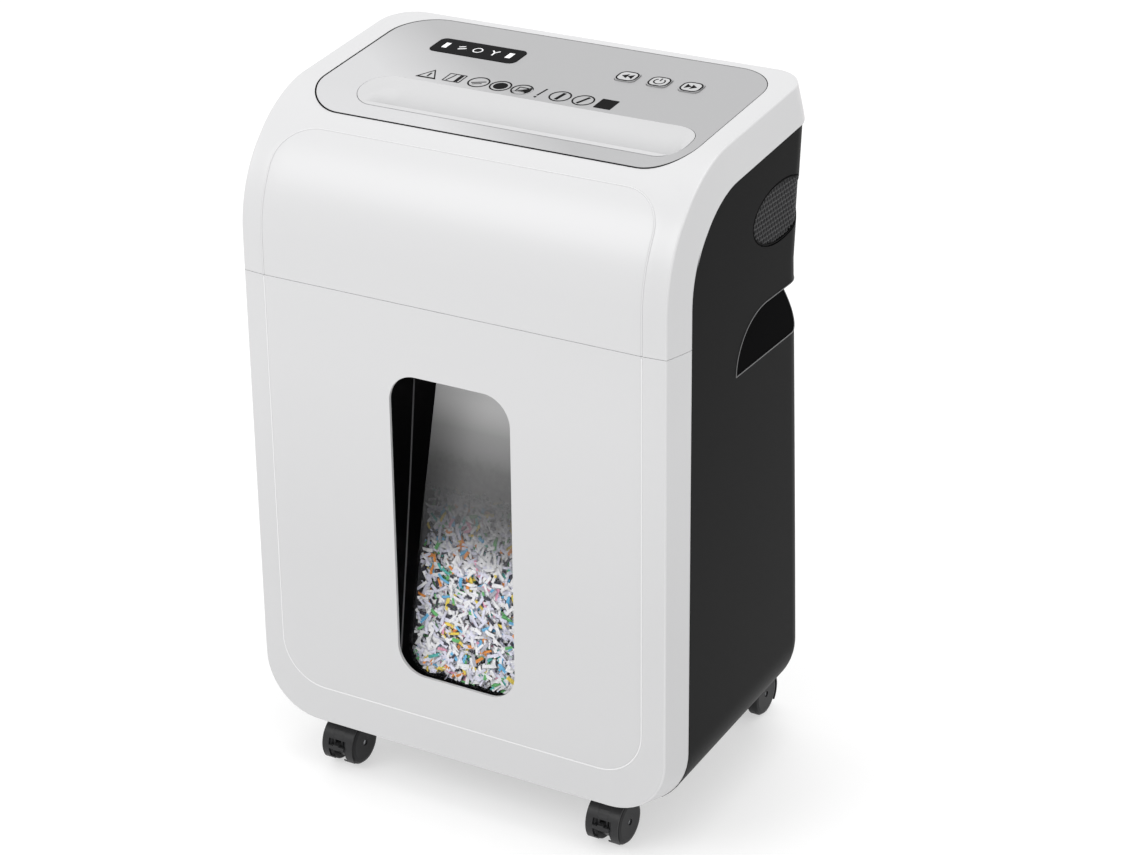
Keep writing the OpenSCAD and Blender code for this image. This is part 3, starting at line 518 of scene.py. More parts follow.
def face_line(name, ring, body, look, wide=1.0):
    """Thin bead that lies in the groove round the inner face, in a lighter look: a painted highlight line.
    """
    bm = bmesh.new()
    section = [(by * wide, up) for by, up in LINE_SECTION]
    rows = [[on_skin(x + by * nx, s + by * ns, up) for x, s, nx, ns in ring] for by, up in section]
    rows.append(rows[0])
    add_strip(bm, rows)
    fill_ends(bm)
    form(name, bm, [look], body, on_skin(ring[0][0], ring[0][1], -1.0), (0, -1, 0), 70)


def skin_grid(s0, s1, half):
    """Points inside the face: close rows where the face is curved."""
    rows, s = [], s0
    while s < s1:
        rows.append(s)
        s += 3.4 if ARC_Z - 4 < s < ARC_Z + ARC_LEN + 2 else 14.0
    return [(x, s) for s in rows for x in np.arange(-half, half + 0.1, 12.0)]


def groove_ring(start, part):
    """The groove's line on the head (part 1) or the bin (part 0), from the height start."""
    return half_ring(GROOVE_X, start, GROOVE_S[part], GROOVE_R[part])


def white_skin(name, body, ring, groove, hole, lines, grid, probe):
    """A skin of the plain form with its face, groove, crease and side band, and one hole."""
    bm = bmesh.new()
    lines = [offset(groove, by) for by in GROOVE_OFFSETS] + lines
    add_domain(bm, offset(ring, BAND_INNER), [hole], lines, grid,
               lambda x, s: on_skin(x, s, face_depth(x, s)))
    add_band(bm, ring)
    return form(name, bm, WHITE_LOOKS, body, probe, (0, -1, 0), 50)


def head_skin():
    start = SEAM_Z + SEAM_GAP
    rear = length_at(REAR_TOP_Y)
    ring = half_ring(CREASE_X, start, rear - 6.0, 26.0)
    hole = [(x, length_at(y)) for x, y in round_rect(1.1, PANEL_MID, 309.0, 153.4, 33.8, step=3.5)]
    grid = skin_grid(start + 4, rear - 12, 166.0)
    grid += [(x, s) for x in (-164.0, -159.5, 159.5, 164.0) for s in np.arange(start + 4, 690, 3.4)]
    obj = white_skin("head_cover_skin", "cabinet", ring, groove_ring(start - 1.0, 1), hole, [], grid,
                     on_skin(0, 450))
    thicken(obj, 2.3)
    soften(obj, 0.35)
    face_line("head_face_line", groove_ring(start + 0.5, 1), "cabinet", "crease", 0.8)
    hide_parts("head_cover")


def bin_skin():
    start = SEAM_Z - SEAM_GAP
    ring = half_ring(CREASE_X, start, BODY_BOTTOM + 6.0, 46.0)
    height = WINDOW_Z[1] - WINDOW_Z[0]
    middle = sum(WINDOW_Z) / 2
    window = round_rect(0, middle, 2 * WINDOW_HALF, height, WINDOW_R, 14)
    around = round_rect(0, middle, 2 * WINDOW_HALF + 5, height + 5, WINDOW_R + 2.5, 14)
    obj = white_skin("bin_front_skin", "bin", ring, groove_ring(start + 1.0, 0), window,
                     [around + [around[0]]], skin_grid(60, start - 6, 166.0), on_skin(100, 200))
    thicken(obj, 2.4)
    # The bevelled edges take the lightest look, a painted highlight.
    soften(obj, 0.8, 3).material = WHITE_LOOKS.index("painted_highlight")
    face_line("bin_face_line", groove_ring(start - 1.0, 0), "bin", "painted_highlight")
    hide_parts("bin_front")


# ---------------- black side covers

# The back leans in up to the waist. The side comes in by the taper behind TAPER_FROM, and turns the rear
# corner and the foot on arcs. HEAD_TURN is the angle, in degrees, of the arc from the front to the slope.
WAIST_Z = 410.0
REAR_WAIST_Y = 206.0
REAR_BOTTOM_Y = 241.0
TOP_REAR_Z = SLOPE_Z + (REAR_TOP_Y - SLOPE_Y) * tan(SLOPE)
CORNER_R = 28.0
FOOT_R = 52.0
FOOT_LOW = BODY_BOTTOM + FOOT_R - FOOT_R * pi / 2
TAPER_LOW = 0.06
TAPER_TOP = 0.015
TAPER_FROM = 33.0
HEAD_TURN = 83.0
FIND_STEP = 0.1
SIDE_FRONT = BAND + SEAM_GAP
SPLIT_X = 124.2
RECESS_X = 152.0
RECESS_Z = (354.0, 394.0)
RECESS_FRONT = 94.5
RECESS_ARC = 142.0
VENT = (161.0, 455.5)
VENT_SIZE = (44.0, 22.2)
RECESS_LIP = 0.8
RECESS_LEAN = 0.72


def mix(a, b, t):
    return a + (b - a) * t


def back_y(z):
    """Depth of the back at a height: it leans in up to the waist, and out above it."""
    if z < WAIST_Z:
        return mix(REAR_BOTTOM_Y, REAR_WAIST_Y, (z - BODY_BOTTOM) / (WAIST_Z - BODY_BOTTOM))
    return mix(REAR_WAIST_Y, REAR_TOP_Y, (z - WAIST_Z) / (TOP_REAR_Z - WAIST_Z))


def taper_at(z):
    """How much the side comes in per millimetre of depth."""
    return mix(TAPER_LOW, TAPER_TOP, (z - BODY_BOTTOM) / (TOP_REAR_Z - BODY_BOTTOM))


def side_at(u, v, inwards=0.0):
    """The side's surface: u runs back and round the rear corner, v runs up from under the rounded foot."""
    bend = max(0.0, (BODY_BOTTOM + FOOT_R - v) / FOOT_R)
    z = v if bend == 0 else BODY_BOTTOM + FOOT_R * (1 - sin(bend))
    half = HALF_W - FOOT_R * (1 - cos(bend))
    taper = taper_at(z)
    y_end = back_y(z)
    y_turn = y_end - CORNER_R
    x_turn = half - taper * (y_turn - TAPER_FROM)
    if u <= y_turn:
        x, y, nx, ny = half - taper * (u - TAPER_FROM), u, 1.0, 0.0
    else:
        a = min((u - y_turn) / CORNER_R, pi / 2)
        nx, ny = cos(a), sin(a)
        x, y = x_turn - CORNER_R * (1 - nx), y_turn + CORNER_R * ny
        x -= max(0.0, u - y_turn - CORNER_R * pi / 2)
    return max(x - inwards * nx, SPLIT_X), y - inwards * ny, z


def u_where_x(x, v):
    """How far round the rear corner the surface comes in to x."""
    u = 150.0
    while side_at(u, v)[0] > x and u < 320:
        u += FIND_STEP
    return u


def side_top(u):
    """Height of the seam under the white band."""
    y = side_at(u, 515.0)[1]
    inner = HEAD_R - SIDE_FRONT
    if y < SLOPE_Y + SIDE_FRONT * sin(SLOPE):
        return ARC_Z + sqrt(max(0.0, inner ** 2 - (HEAD_R - y) ** 2))
    rise = (y - SLOPE_Y - SIDE_FRONT * sin(SLOPE)) * tan(SLOPE)
    return SLOPE_Z - SIDE_FRONT * cos(SLOPE) + rise


def floor_x(y, z):
    """Where the leaning floor of the recess stands at a height."""
    lean = RECESS_LEAN * (z - RECESS_Z[0])
    return HALF_W - RECESS_LIP - lean - taper_at(RECESS_Z[0]) * (y - TAPER_FROM)


def recess_low(u):
    """Height at which the floor comes in under the outer surface. It rises where the side turns in at the
    back."""
    z = RECESS_Z[0]
    while z < RECESS_Z[1] and floor_x(side_at(u, z)[1], z) > side_at(u, z)[0] - 0.02:
        z += FIND_STEP
    return z


def recess_ceiling(u):
    """Height of the pocket's upper edge: level at the rear, and an ellipse down to the front tip."""
    reach = RECESS_ARC - RECESS_FRONT
    if u >= RECESS_ARC:
        return RECESS_Z[1]
    level = sqrt(max(0.0, 1 - ((RECESS_ARC - u) / reach) ** 2))
    return RECESS_Z[0] + (RECESS_Z[1] - RECESS_Z[0]) * level


def recess_columns():
    """Stations round the recess, from its open rear end to its front tip."""
    end = u_where_x(RECESS_X, 384.0)
    straight = [end + (RECESS_ARC - end) * i / 26 for i in range(26)]
    curve = [RECESS_ARC - (RECESS_ARC - RECESS_FRONT) * sin(radians(a)) for a in range(0, 88, 4)]
    return straight + curve + [RECESS_FRONT]


def recess_section(u):
    """Points from the lip up the leaning floor and the inner wall, then out along the ceiling."""
    low, top = recess_low(u), recess_ceiling(u)

    def inner(z):
        x, y, height = side_at(u, z)
        return max(RECESS_X, min(x, floor_x(y, z))), y, height

    edge = low
    while edge < top and inner(edge)[0] > RECESS_X:
        edge += FIND_STEP
    edge = min(edge, top)
    points = [side_at(u, low)]
    points += [inner(mix(low, edge, t)) for t in (0, 0.25, 0.5, 0.75, 1.0)]
    points += [inner(mix(edge, top, t)) for t in (0.5, 1.0)]
    outer = side_at(u, top)
    points.append(tuple(mix(p, q, 0.5) for p, q in zip(points[-1], outer)))
    points.append(outer)
    return points


def recess_end(u):
    """The last section, where the wall has run out into the outer surface."""
    low, top = recess_low(u), recess_ceiling(u)
    return [side_at(u, z) for z in [low] * 6 + [mix(low, top, 0.5)] + [top] * 3]


def recess_outline():
    """Outline of the hand recess on the side: the lip to the front tip, back along the ceiling, and down."""
    columns = recess_columns()
    lower = [(u, recess_low(u)) for u in columns]
    upper = [(u, recess_ceiling(u)) for u in reversed(columns[:-1])]
    return lower + upper + [(columns[0], mix(lower[0][1], RECESS_Z[1], 0.5))]


def add_recess(bm, side):
    """The pocket's surface, in the darker of the cover's two looks: painted shade in the recess."""
    columns = recess_columns()
    sections = [recess_end(columns[0])] + [recess_section(u) for u in columns[1:]]
    rows = [[mirrored(side, p) for p in section] for section in sections]
    add_strip(bm, rows, looks=[1] * len(rows))


def vent_outline(grow=0.0, count=72):
    a, b = VENT_SIZE
    return [(VENT[0] + (a + grow) * cos(2 * pi * i / count),
             VENT[1] + (b + grow) * sin(2 * pi * i / count)) for i in range(count)]


def mirrored(side, point):
    return row(side * point[0], point[1], point[2])


def on_side(side, u, v, inwards=0.0):
    return mirrored(side, side_at(u, v, inwards))


def cover_outline():
    """Outline of a side cover on its unrolled surface: foot, back edge, seam under the band, and front."""
    ends = [(v, u_where_x(SPLIT_X + 0.1, v)) for v in np.linspace(FOOT_LOW, 510, 44)]
    front = [(SIDE_FRONT, v) for v in np.linspace(FOOT_LOW, ARC_Z, 52)]
    curve = []
    for i in range(1, 25):
        a = radians(HEAD_TURN * i / 24)
        inner = HEAD_R - SIDE_FRONT
        curve.append((HEAD_R - inner * cos(a), ARC_Z + inner * sin(a)))
    u_last = u_where_x(SPLIT_X + 0.1, 512.0)
    top = [(u, side_top(u)) for u in np.linspace(curve[-1][0] + 4, u_last, 34)]
    back = [(u, v) for v, u in reversed(ends) if v < top[-1][1] - 3]
    bottom = [(u, FOOT_LOW) for u in np.linspace(back[-1][0], SIDE_FRONT, 20)][1:-1]
    outer = front + curve + top + back + bottom
    return outer[::-1]


def cover_grid():
    """Points inside a side cover, closer together where it turns the rear corner and the foot."""
    grid, v = [], FOOT_LOW + 4
    while v < 520:
        turn = back_y(max(v, BODY_BOTTOM)) - CORNER_R
        grid += [(u, v) for u in np.arange(SIDE_FRONT + 8, turn - 4, 13.0)]
        grid += [(turn + k * 3.1, v) for k in range(-1, 24)]
        v += 4.0 if v < 94 or 400 < v < 420 else 9.0
    return grid


def side_cover(side, word):
    bm = bmesh.new()
    add_domain(bm, cover_outline(), [recess_outline(), vent_outline(0.6)], [], cover_grid(),
               lambda u, v: on_side(side, u, v), gap=2.4)
    add_recess(bm, side)
    obj = form(word + "_side_skin", bm, ["cover", "trim_and_recess_shade"], "cabinet", on_side(side, 80, 200),
               (side, 0, 0), 42)
    thicken(obj, 2.2)
    soften(obj, 0.55, 3)
    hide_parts(word + "_side_cover")
    recess_edge(side, word)


EDGE_RADIUS = 0.42


def recess_edge(side, word):
    """Rounded edge of the hand recess, a little lighter than the cover as a painted highlight."""
    columns = recess_columns()
    path = [(u, recess_ceiling(u)) for u in columns] + [(u, recess_low(u)) for u in reversed(columns[:-1])]
    points = [on_side(side, u, z) for u, z in path]
    bm = bmesh.new()
    rows = []
    for i, point in enumerate(points):
        ahead, behind = points[min(i + 1, len(points) - 1)], points[max(i - 1, 0)]
        along = (ahead - behind).normalized()
        a = along.orthogonal().normalized() if not rows else (a - along * a.dot(along)).normalized()
        b = along.cross(a)
        turns = [radians(60 * k) for k in range(6)]
        rows.append([point + (a * cos(t) + b * sin(t)) * EDGE_RADIUS * MM for t in turns])
    add_strip(bm, rows, close=True)
    fill_ends(bm)
    form(word + "_recess_edge", bm, ["cover_edge_painted_highlight"], "cabinet", on_side(side, 140, 340),
         (0, 0, -1), 70)


HEX_PITCH = 4.2
HEX_R = HEX_PITCH / sqrt(3)
# Radius of each ring of a cell's wall, and its depth under the side's surface
HEX_WALL = [(HEX_R, 1.0), (HEX_R - 0.35, 0.7), (HEX_R - 0.62, 1.1), (HEX_R - 0.66, 2.6)]
# Growth over the vent's outline, and depth under the side's surface
RIM_SECTION = [(-1.7, 3.0), (-1.7, 0.9), (-1.5, 0.5), (-1.1, 0.2), (-0.7, 0.1), (-0.3, 0.2), (0.0, 0.5),
               (0.15, 0.9), (0.15, 3.0)]


def hex_ring(side, u, v, r, deep):
    turns = [radians(30 + 60 * k) for k in range(6)]
    return [on_side(side, u + r * cos(a), v + r * sin(a), deep) for a in turns]


def vent_mesh(side, word):
    """Honeycomb that follows the side round the rear corner."""
    bm = bmesh.new()
    for j in range(-7, 8):
        for i in range(-11, 12):
            du = (i + 0.5 * (j % 2)) * HEX_PITCH
            dv = j * HEX_PITCH * sqrt(0.75)
            if (du / (VENT_SIZE[0] - 0.5)) ** 2 + (dv / (VENT_SIZE[1] - 0.5)) ** 2 > 1:
                continue
            rings = [hex_ring(side, VENT[0] + du, VENT[1] + dv, r, deep) for r, deep in HEX_WALL]
            add_strip(bm, rings, close=True)
    obj = form(word + "_vent_mesh", bm, ["strand"], "cabinet", on_side(side, *VENT, 1),
               (side, 0, 0), 30)
    thicken(obj, 0.25)


def vent_rim(side, word):
    """Raised rim round the honeycomb."""
    bm = bmesh.new()
    rows = [[on_side(side, u, v, deep) for u, v in vent_outline(grow)] for grow, deep in RIM_SECTION]
    rows.append(rows[0])
    add_strip(bm, rows, close=True)
    obj = form(word + "_vent_rim", bm, ["trim_and_recess_shade"], "cabinet",
               on_side(side, VENT[0] - 41.5, VENT[1], -1), (side, 0, 0), 60)
    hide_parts(word + "_vent_grille")


# ---------------- panel, throat, keys and marks


def on_plane(u, s, up=0.0):
    """A point on the panel's sloping plane: u across, s up the slope from the panel's front edge."""
    z0 = SLOPE_Z + (PANEL_Y0 - SLOPE_Y) * tan(SLOPE)
    return row(u, PANEL_Y0 + s * cos(SLOPE) - up * sin(SLOPE),
               z0 + s * sin(SLOPE) + up * cos(SLOPE))


# Middle across, middle in depth or up the slope, width, height and corner radius
THROAT = (14.5, 80.3, 264.0, 40.7, 18.5)
DISPLAY = (-71.0, 112.1, 73.0, 23.0, 5.5)
KEYS = [("reverse", 54.3), ("power", 79.8), ("forward", 105.2)]
KEY_S = 110.1
KEY_SIZE = (16.0, 15.3)


def slope_hole(u, s, w, h, r):
    """A rounded opening drawn in the panel's plane, as points of the skin's domain. The plane is carried
    forward to the panel's front edge from a place where the skin lies in it."""
    base = length_at(PANEL_Y0 + 60) - 60 / cos(SLOPE)
    return [(x, base + y) for x, y in round_rect(u, s, w, h, r, 8)]


def panel_outline():
    return round_rect(PANEL_X, PANEL_MID, 307.0, 152.0, 33.0, 16, 3.5)


def panel_joint():
    """Dark joint in the gap round the panel, widest at its left end."""
    line = panel_outline()
    inner, outer = [], []
    for i, (x, y) in enumerate(line):
        ahead, behind = line[(i + 1) % len(line)], line[i - 1]
        nx, ny = ahead[1] - behind[1], behind[0] - ahead[0]
        size = hypot(nx, ny)
        away = 1 if nx * (x - PANEL_X) + ny * (y - PANEL_MID) > 0 else -1
        nx, ny = away * nx / size, away * ny / size
        gap = 0.70 + 0.62 * max(0.0, -nx) - 0.15 * max(0.0, nx)
        inner.append((x + 0.05 * nx, y + 0.05 * ny))
        outer.append((x + gap * nx, y + gap * ny))
    bm = bmesh.new()
    rows = [[on_skin(x, length_at(y), deep) for x, y in loop]
            for loop, deep in [(inner, 1.3), (inner, 0.3), (outer, 0.3), (outer, 1.3), (inner, 1.3)]]
    add_strip(bm, rows, close=True)
    form("panel_joint", bm, ["trim_and_recess_shade"], "cabinet", on_skin(-153.0, length_at(PANEL_MID)),
         (0, 0, 1), 50)


def panel_skin():
    outer = [(x, length_at(y)) for x, y in panel_outline()]
    x, y, w, h, r = THROAT
    holes = [[(a, length_at(b)) for a, b in round_rect(x, y, w + 0.7, h + 0.7, r + 0.35, 14, 4)]]
    u, s, w, h, r = DISPLAY
    holes.append(slope_hole(u, s, w + 0.5, h + 0.5, r + 0.25))
    for key, u in KEYS:
        holes.append(slope_hole(u, KEY_S, KEY_SIZE[0] + 0.5, KEY_SIZE[1] + 0.5, 4.2))
    grid = [(a, s) for s in np.arange(length_at(PANEL_Y0 + 3), length_at(200), 3.4)
            for a in np.arange(-150, 150.1, 12.0)]
    bm = bmesh.new()
    add_domain(bm, outer, holes, [], grid, on_skin)
    obj = form("control_panel_skin", bm, ["silver"], "cabinet", on_skin(0, length_at(150)),
               (0, 0, 1))
    thicken(obj, 1.6)
    soften(obj, 0.3)
    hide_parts("control_panel")
    panel_joint()


SLOT_Y = (63.9, 69.8)
SLOT_X = (-91.0, 135.0)
LIP_Y = 63.0
SLOPE_TOP_Y = 98.2
TROUGH_DEPTH = 15.0
TROUGH_HOLLOW = 0.78
SLOT_FLOOR_Z = 484.0


def ease(t):
    t = min(1.0, max(0.0, t))
    return t * t * (3 - 2 * t)


def trough_depth(x, y):
    """Depth of the trough: a lip in front of the slot, a concave slope behind it, and soft ends."""
    rise = min(1.0, max(0.0, (SLOPE_TOP_Y - y) / (SLOPE_TOP_Y - SLOT_Y[1])))
    slope = TROUGH_DEPTH * (1 - sqrt(max(0.0, 1 - TROUGH_HOLLOW * rise ** 1.7)))
    slope /= 1 - sqrt(1 - TROUGH_HOLLOW)
    lip = ease((y - LIP_Y) / (SLOT_Y[0] - LIP_Y))
    ends = ease((x + 108.0) / 24.0) * ease((144.5 - x) / 10.0)
    return slope * lip * ends


def throat_skin():
    mouth = round_rect(sum(SLOT_X) / 2, sum(SLOT_Y) / 2, SLOT_X[1] - SLOT_X[0], SLOT_Y[1] - SLOT_Y[0],
                       0.6, 2, 3.0)
    lines = [[(a, b) for a in np.arange(-105, 144.1, 3.0)]
             for b in (LIP_Y - 1.0, LIP_Y, LIP_Y + 0.3, LIP_Y + 0.6)]
    grid = [(a, b) for b in np.arange(61, 100, 2.0) for a in np.arange(-116, 146, 3.0)]

    def place(a, b):
        return row(a, b, profile(length_at(b))[1] - trough_depth(a, b))

    bm = bmesh.new()
    add_domain(bm, round_rect(*THROAT, 16, 3.0), [mouth], lines, grid, place, gap=0.8)
    rows = [[place(a, b).lerp(row(a, b, SLOT_FLOOR_Z), t) for a, b in mouth] for t in (0, 0.06, 0.5, 1.0)]
    # Below its top row the mouth's wall takes the darker slot look, painted shade in the slot.
    add_strip(bm, rows, close=True, looks=[0, 1, 1])
    obj = form("feed_throat_skin", bm, ["throat", "slot"], "cabinet", place(20, 95),
               (0, 0, 1), 60)
    thicken(obj, 1.8)
    soften(obj, 0.5, 3, 50)
    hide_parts("feed_throat")


MARK_THICK = 0.10


def marks(name, shapes, look, body, up):
    """Flat printed shapes on the panel's plane. Each shape is a list of loops, filled but for its inner
    loops."""
    curve = bpy.data.curves.new(name, "CURVE")
    curve.dimensions = "2D"
    curve.fill_mode = "BOTH"
    curve.extrude = MARK_THICK / 2
    for shape in shapes:
        for loop in shape:
            spline = curve.splines.new("POLY")
            spline.points.add(len(loop) - 1)
            for point, (u, s) in zip(spline.points, loop):
                point.co = (u, s, 0, 1)
            spline.use_cyclic_u = True
    temp = new_object(name + "_curve", curve)
    bpy.context.view_layer.update()
    mesh = bpy.data.meshes.new_from_object(temp.evaluated_get(bpy.context.evaluated_depsgraph_get()))
    bpy.data.objects.remove(temp)
    mesh.name = name
    for vertex in mesh.vertices:
        u, s, h = vertex.co
        vertex.co = on_plane(u, s, up + h)
    mesh.materials.clear()
    piece(name, mesh, [MATS[look]], body)


def ring_shape(u, s, w, h, line, r):
    return [plain_rect(u, s, w, h, r),
            plain_rect(u, s, w - 2 * line, h - 2 * line, max(0.2, r - line))]


def circle_shape(u, s, radius, line=None):
    outer = [p[:2] for p in arc(u, s, radius, 0, 345, 23)]
    if line is None:
        return [outer]
    return [outer, [p[:2] for p in arc(u, s, radius - line, 0, 345, 23)]]


def bar_shape(u, s, length, width, angle):
    c, n = cos(radians(angle)), sin(radians(angle))
    x, y = length / 2, width / 2
    corners = [(-x, -y), (x, -y), (x, y), (-x, y)]
    return [[(u + a * c - b * n, s + a * n + b * c) for a, b in corners]]


def arrow_shape(u, s, w, h, way):
    """Triangle that points to the right, or to the left where way is -1."""
    reach = way * w / 2
    return [[(u - reach, s - h / 2), (u + reach, s), (u - reach, s + h / 2)]]


def warning_shape(u, s, size, hollow):
    """Upright triangle with a smaller one left open in it."""
    outer = [(u - size / 2, s - size * 0.42), (u + size / 2, s - size * 0.42), (u, s + size * 0.45)]
    inner = [(u + (a - u) * hollow, s + (b - s) * hollow) for a, b in outer]
    return [outer, inner]


KEY_TOP = 0.86
MARK_S = 64.4


def key_mark(kind, shapes, key, look, up):
    marks(f"{key}_key_{kind}", shapes, look, key + "_key_body", KEY_TOP + up)


def key_marks():
    """Face, ring and symbol of each key: two arrows on the outer ones, and the power sign between them."""
    for name, u in KEYS:
        key_mark("face", [[plain_rect(u, KEY_S, 14.2, 13.5, 4.2)]], name, "key_face", -0.02)
        key_mark("ring", [ring_shape(u, KEY_S, 15.8, 15.1, 1.25, 5.6)], name, "mark", 0.02)
    places = dict(KEYS)
    for name, way in [("reverse", -1), ("forward", 1)]:
        arrows = [arrow_shape(places[name] + by, KEY_S, 4.6, 7.2, way) for by in (-2.2, 2.2)]
        key_mark("mark", arrows, name, "mark", 0.03)
    u = places["power"]
    outer = [p[:2] for p in arc(u, KEY_S, 4.6, 125, 415, 24)]
    inner = [p[:2] for p in arc(u, KEY_S, 3.5, 415, 125, 24)]
    key_mark("mark", [[outer + inner], bar_shape(u, KEY_S + 2.9, 4.4, 1.1, 90)], "power", "mark", 0.03)


def panel_marks():
    """A row of plain signs behind the trough: bars in and beside rings, discs and frames."""
    s = MARK_S
    shapes = [warning_shape(-81.5, s, 17.0, 0.74), bar_shape(-81.5, s - 1.2, 6.0, 1.4, 90),
              ring_shape(-61.0, s, 14.5, 13.0, 0.9, 0.8), bar_shape(-57.5, s, 10.5, 3.0, 90),
              bar_shape(-64.0, s, 10.5, 1.0, 75)]
    shapes += [circle_shape(u, s, 8.4, 1.25) for u in (-40.8, -22.8, -5.2, 26.0, 44.6)]
    shapes += [bar_shape(-40.8, s, 11.0, 1.2, 25), bar_shape(-40.8, s - 2.8, 7.0, 1.0, 25),
               circle_shape(-22.8, s, 5.4), ring_shape(-5.2, s, 8.0, 8.0, 1.0, 0.9),
               bar_shape(-5.2, s, 15.0, 0.9, 40), bar_shape(10.5, s + 1.5, 12.0, 1.4, 82),
               circle_shape(9.6, s - 7.0, 1.1), bar_shape(26.0, s, 11.5, 2.8, 82),
               bar_shape(44.6, s, 12.0, 2.2, 68), [plain_rect(63.0, s, 13.5, 15.0, 0.8, 4)]]
    marks("panel_marks", shapes, "mark", "cabinet", 0.05)


def display_marks():
    s = DISPLAY[1]
    lit = [bar_shape(-98.0, s, 8.5, 4.0, 90), bar_shape(-85.0, s + 1.6, 5.0, 1.2, 25),
           bar_shape(-83.5, s - 1.6, 6.5, 1.2, 25), circle_shape(-71.0, s, 4.0, 0.9),
           bar_shape(-57.0, s - 1.6, 5.0, 1.3, 90), bar_shape(-58.6, s + 2.2, 4.2, 1.1, 130),
           bar_shape(-55.4, s + 2.2, 4.2, 1.1, 50), bar_shape(-44.0, s, 8.5, 4.4, 90)]
    marks("display_marks", lit, "light_mark", "cabinet", 0.36)


# ---------------- cut paper


PANE_LEAN = 0.2464


def pane_y(z):
    """Depth of the pane's front at a height."""
    return 13.3 + PANE_LEAN * (z - 119.0)


HEAP_HALF = 141.0
HEAP_TOP = 262.0
HEAP_BACK = 195.0
HEAP_FLOOR = 61.6
NOTCH_HALF = 49.0
NOTCH_BOTTOM = 104.0
BESIDE_Y = 30.0


def heap_front(x, z):
    """The heap leans on the pane in the window, and on the front wall of the tub beside it."""
    against_pane = pane_y(max(z, NOTCH_BOTTOM)) + 10.5
    t = ease((abs(x) - NOTCH_HALF) / 6.0)
    return mix(against_pane, BESIDE_Y, t) if z > NOTCH_BOTTOM else BESIDE_Y


def heap_core():
    """Closed lumpy block under the loose pieces, dark as painted shade deep in the heap."""
    bm = bmesh.new()
    count = (56, 30, 40)

    def place(u, v, w):
        x = HEAP_HALF * (2 * u - 1)
        rough = 3.0 * noise.noise(Vector((x * 0.05, v * 9.0, w * 7.0)))
        lump = 5.0 * noise.noise(Vector((x * 0.02, v * 3.0, 4.0)))
        z = HEAP_FLOOR + w * (HEAP_TOP - HEAP_FLOOR + lump * w)
        front = heap_front(x, z)
        y = mix(front, HEAP_BACK, v)
        z += rough * (1.0 if w > 0.99 else 0.0)
        return row(x, y, z)

    for axis in range(3):
        a, b = [i for i in range(3) if i != axis]
        for side in (0.0, 1.0):
            lines = []
            for i in range(count[a] + 1):
                line = []
                for j in range(count[b] + 1):
                    p = [side, side, side]
                    p[a], p[b] = i / count[a], j / count[b]
                    line.append(place(*p))
                lines.append(line)
            add_strip(bm, lines)
    obj = form("paper_core_painted_shade", bm, ["heap_painted_shade"], "bin", row(0, 120, HEAP_TOP), (0, 0, 1), 80)
    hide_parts("shredded_paper")


def add_flake(verts, faces, slots, centre, across, along, rng):
    """One short strip of paper, bent in the middle, with real thickness."""
    w, h, thin = rng.uniform(1.7, 2.9) / 2, rng.uniform(6.0, 11.0) / 2, 0.16
    normal = across.cross(along).normalized()
    bend = rng.uniform(-1.8, 1.8)
    twist = rng.uniform(-0.5, 0.5)
    start = len(verts)
    for t in (-1.0, 0.0, 1.0):
        mid = centre + along * (h * t) + normal * (bend * (1 - t * t))
        side = (across + normal * (twist * t)).normalized() * w
        for sx in (-1, 1):
            for sn in (-1, 1):
                verts.append(mid + side * sx + normal * (thin / 2 * sn))
    for k in (0, 4):
        a = start + k
        faces += [(a, a + 4, a + 6, a + 2), (a + 1, a + 3, a + 7, a + 5), (a, a + 1, a + 5, a + 4),
                  (a + 2, a + 6, a + 7, a + 3)]
    faces += [(start, start + 2, start + 3, start + 1), (start + 8, start + 9, start + 11, start + 10)]
    slots += [rng.choices(range(len(PAPER)), PAPER_WEIGHTS)[0]] * 10


def flakes(name, count, spot, lean, spread, seed):
    """Loose strips: spot draws a place for each, and lean is the direction that their faces mostly look."""
    rng = random.Random(seed)
    verts, faces, slots = [], [], []
    lean = Vector(lean).normalized()
    for i in range(count):
        centre = Vector(spot(rng))
        normal = (lean + Vector([rng.gauss(0, spread) for k in range(3)])).normalized()
        along = normal.orthogonal().normalized()
        along = Matrix.Rotation(rng.uniform(0, 2 * pi), 3, normal) @ along
        add_flake(verts, faces, slots, centre, normal.cross(along), along, rng)
    mesh = bpy.data.meshes.new(name)
    mesh.from_pydata([row(*v) for v in verts], [], faces)
    mesh.polygons.foreach_set("material_index", slots)
    mesh.update()
    piece(name, mesh, PAPER, "bin")


def near_pane(low, high, bottom=108.0, top=272.0):
    """Draws places in the window, between two depths behind the pane."""
    def spot(rng):
        z = rng.uniform(bottom, top)
        x = rng.uniform(-47.6, 47.6)
        return x, pane_y(z) + rng.uniform(low, high), z
    return spot


def top_spot(rng):
    """Draws a place on the top of the heap."""
    x = rng.uniform(-HEAP_HALF + 8, HEAP_HALF - 8)
    low = 40.0 if abs(x) > 62 else pane_y(HEAP_TOP) + 14
    return x, rng.uniform(low, HEAP_BACK - 9), HEAP_TOP + rng.uniform(-1.5, 5.0)


def paper():
    heap_core()
    slope = (0, -1, PANE_LEAN)
    flakes("window_flakes_front", 1150, near_pane(3.6, 5.6), slope, 0.10, 11)
    flakes("window_flakes_back", 2100, near_pane(6.0, 9.5), slope, 0.30, 13)
    flakes("window_flakes_low", 420, near_pane(3.4, 13.0, 104.5, 116.0), (0, -1, 0.8), 0.3, 14)
    flakes("top_flakes", 2600, top_spot, (0, 0, 1), 0.30, 12)


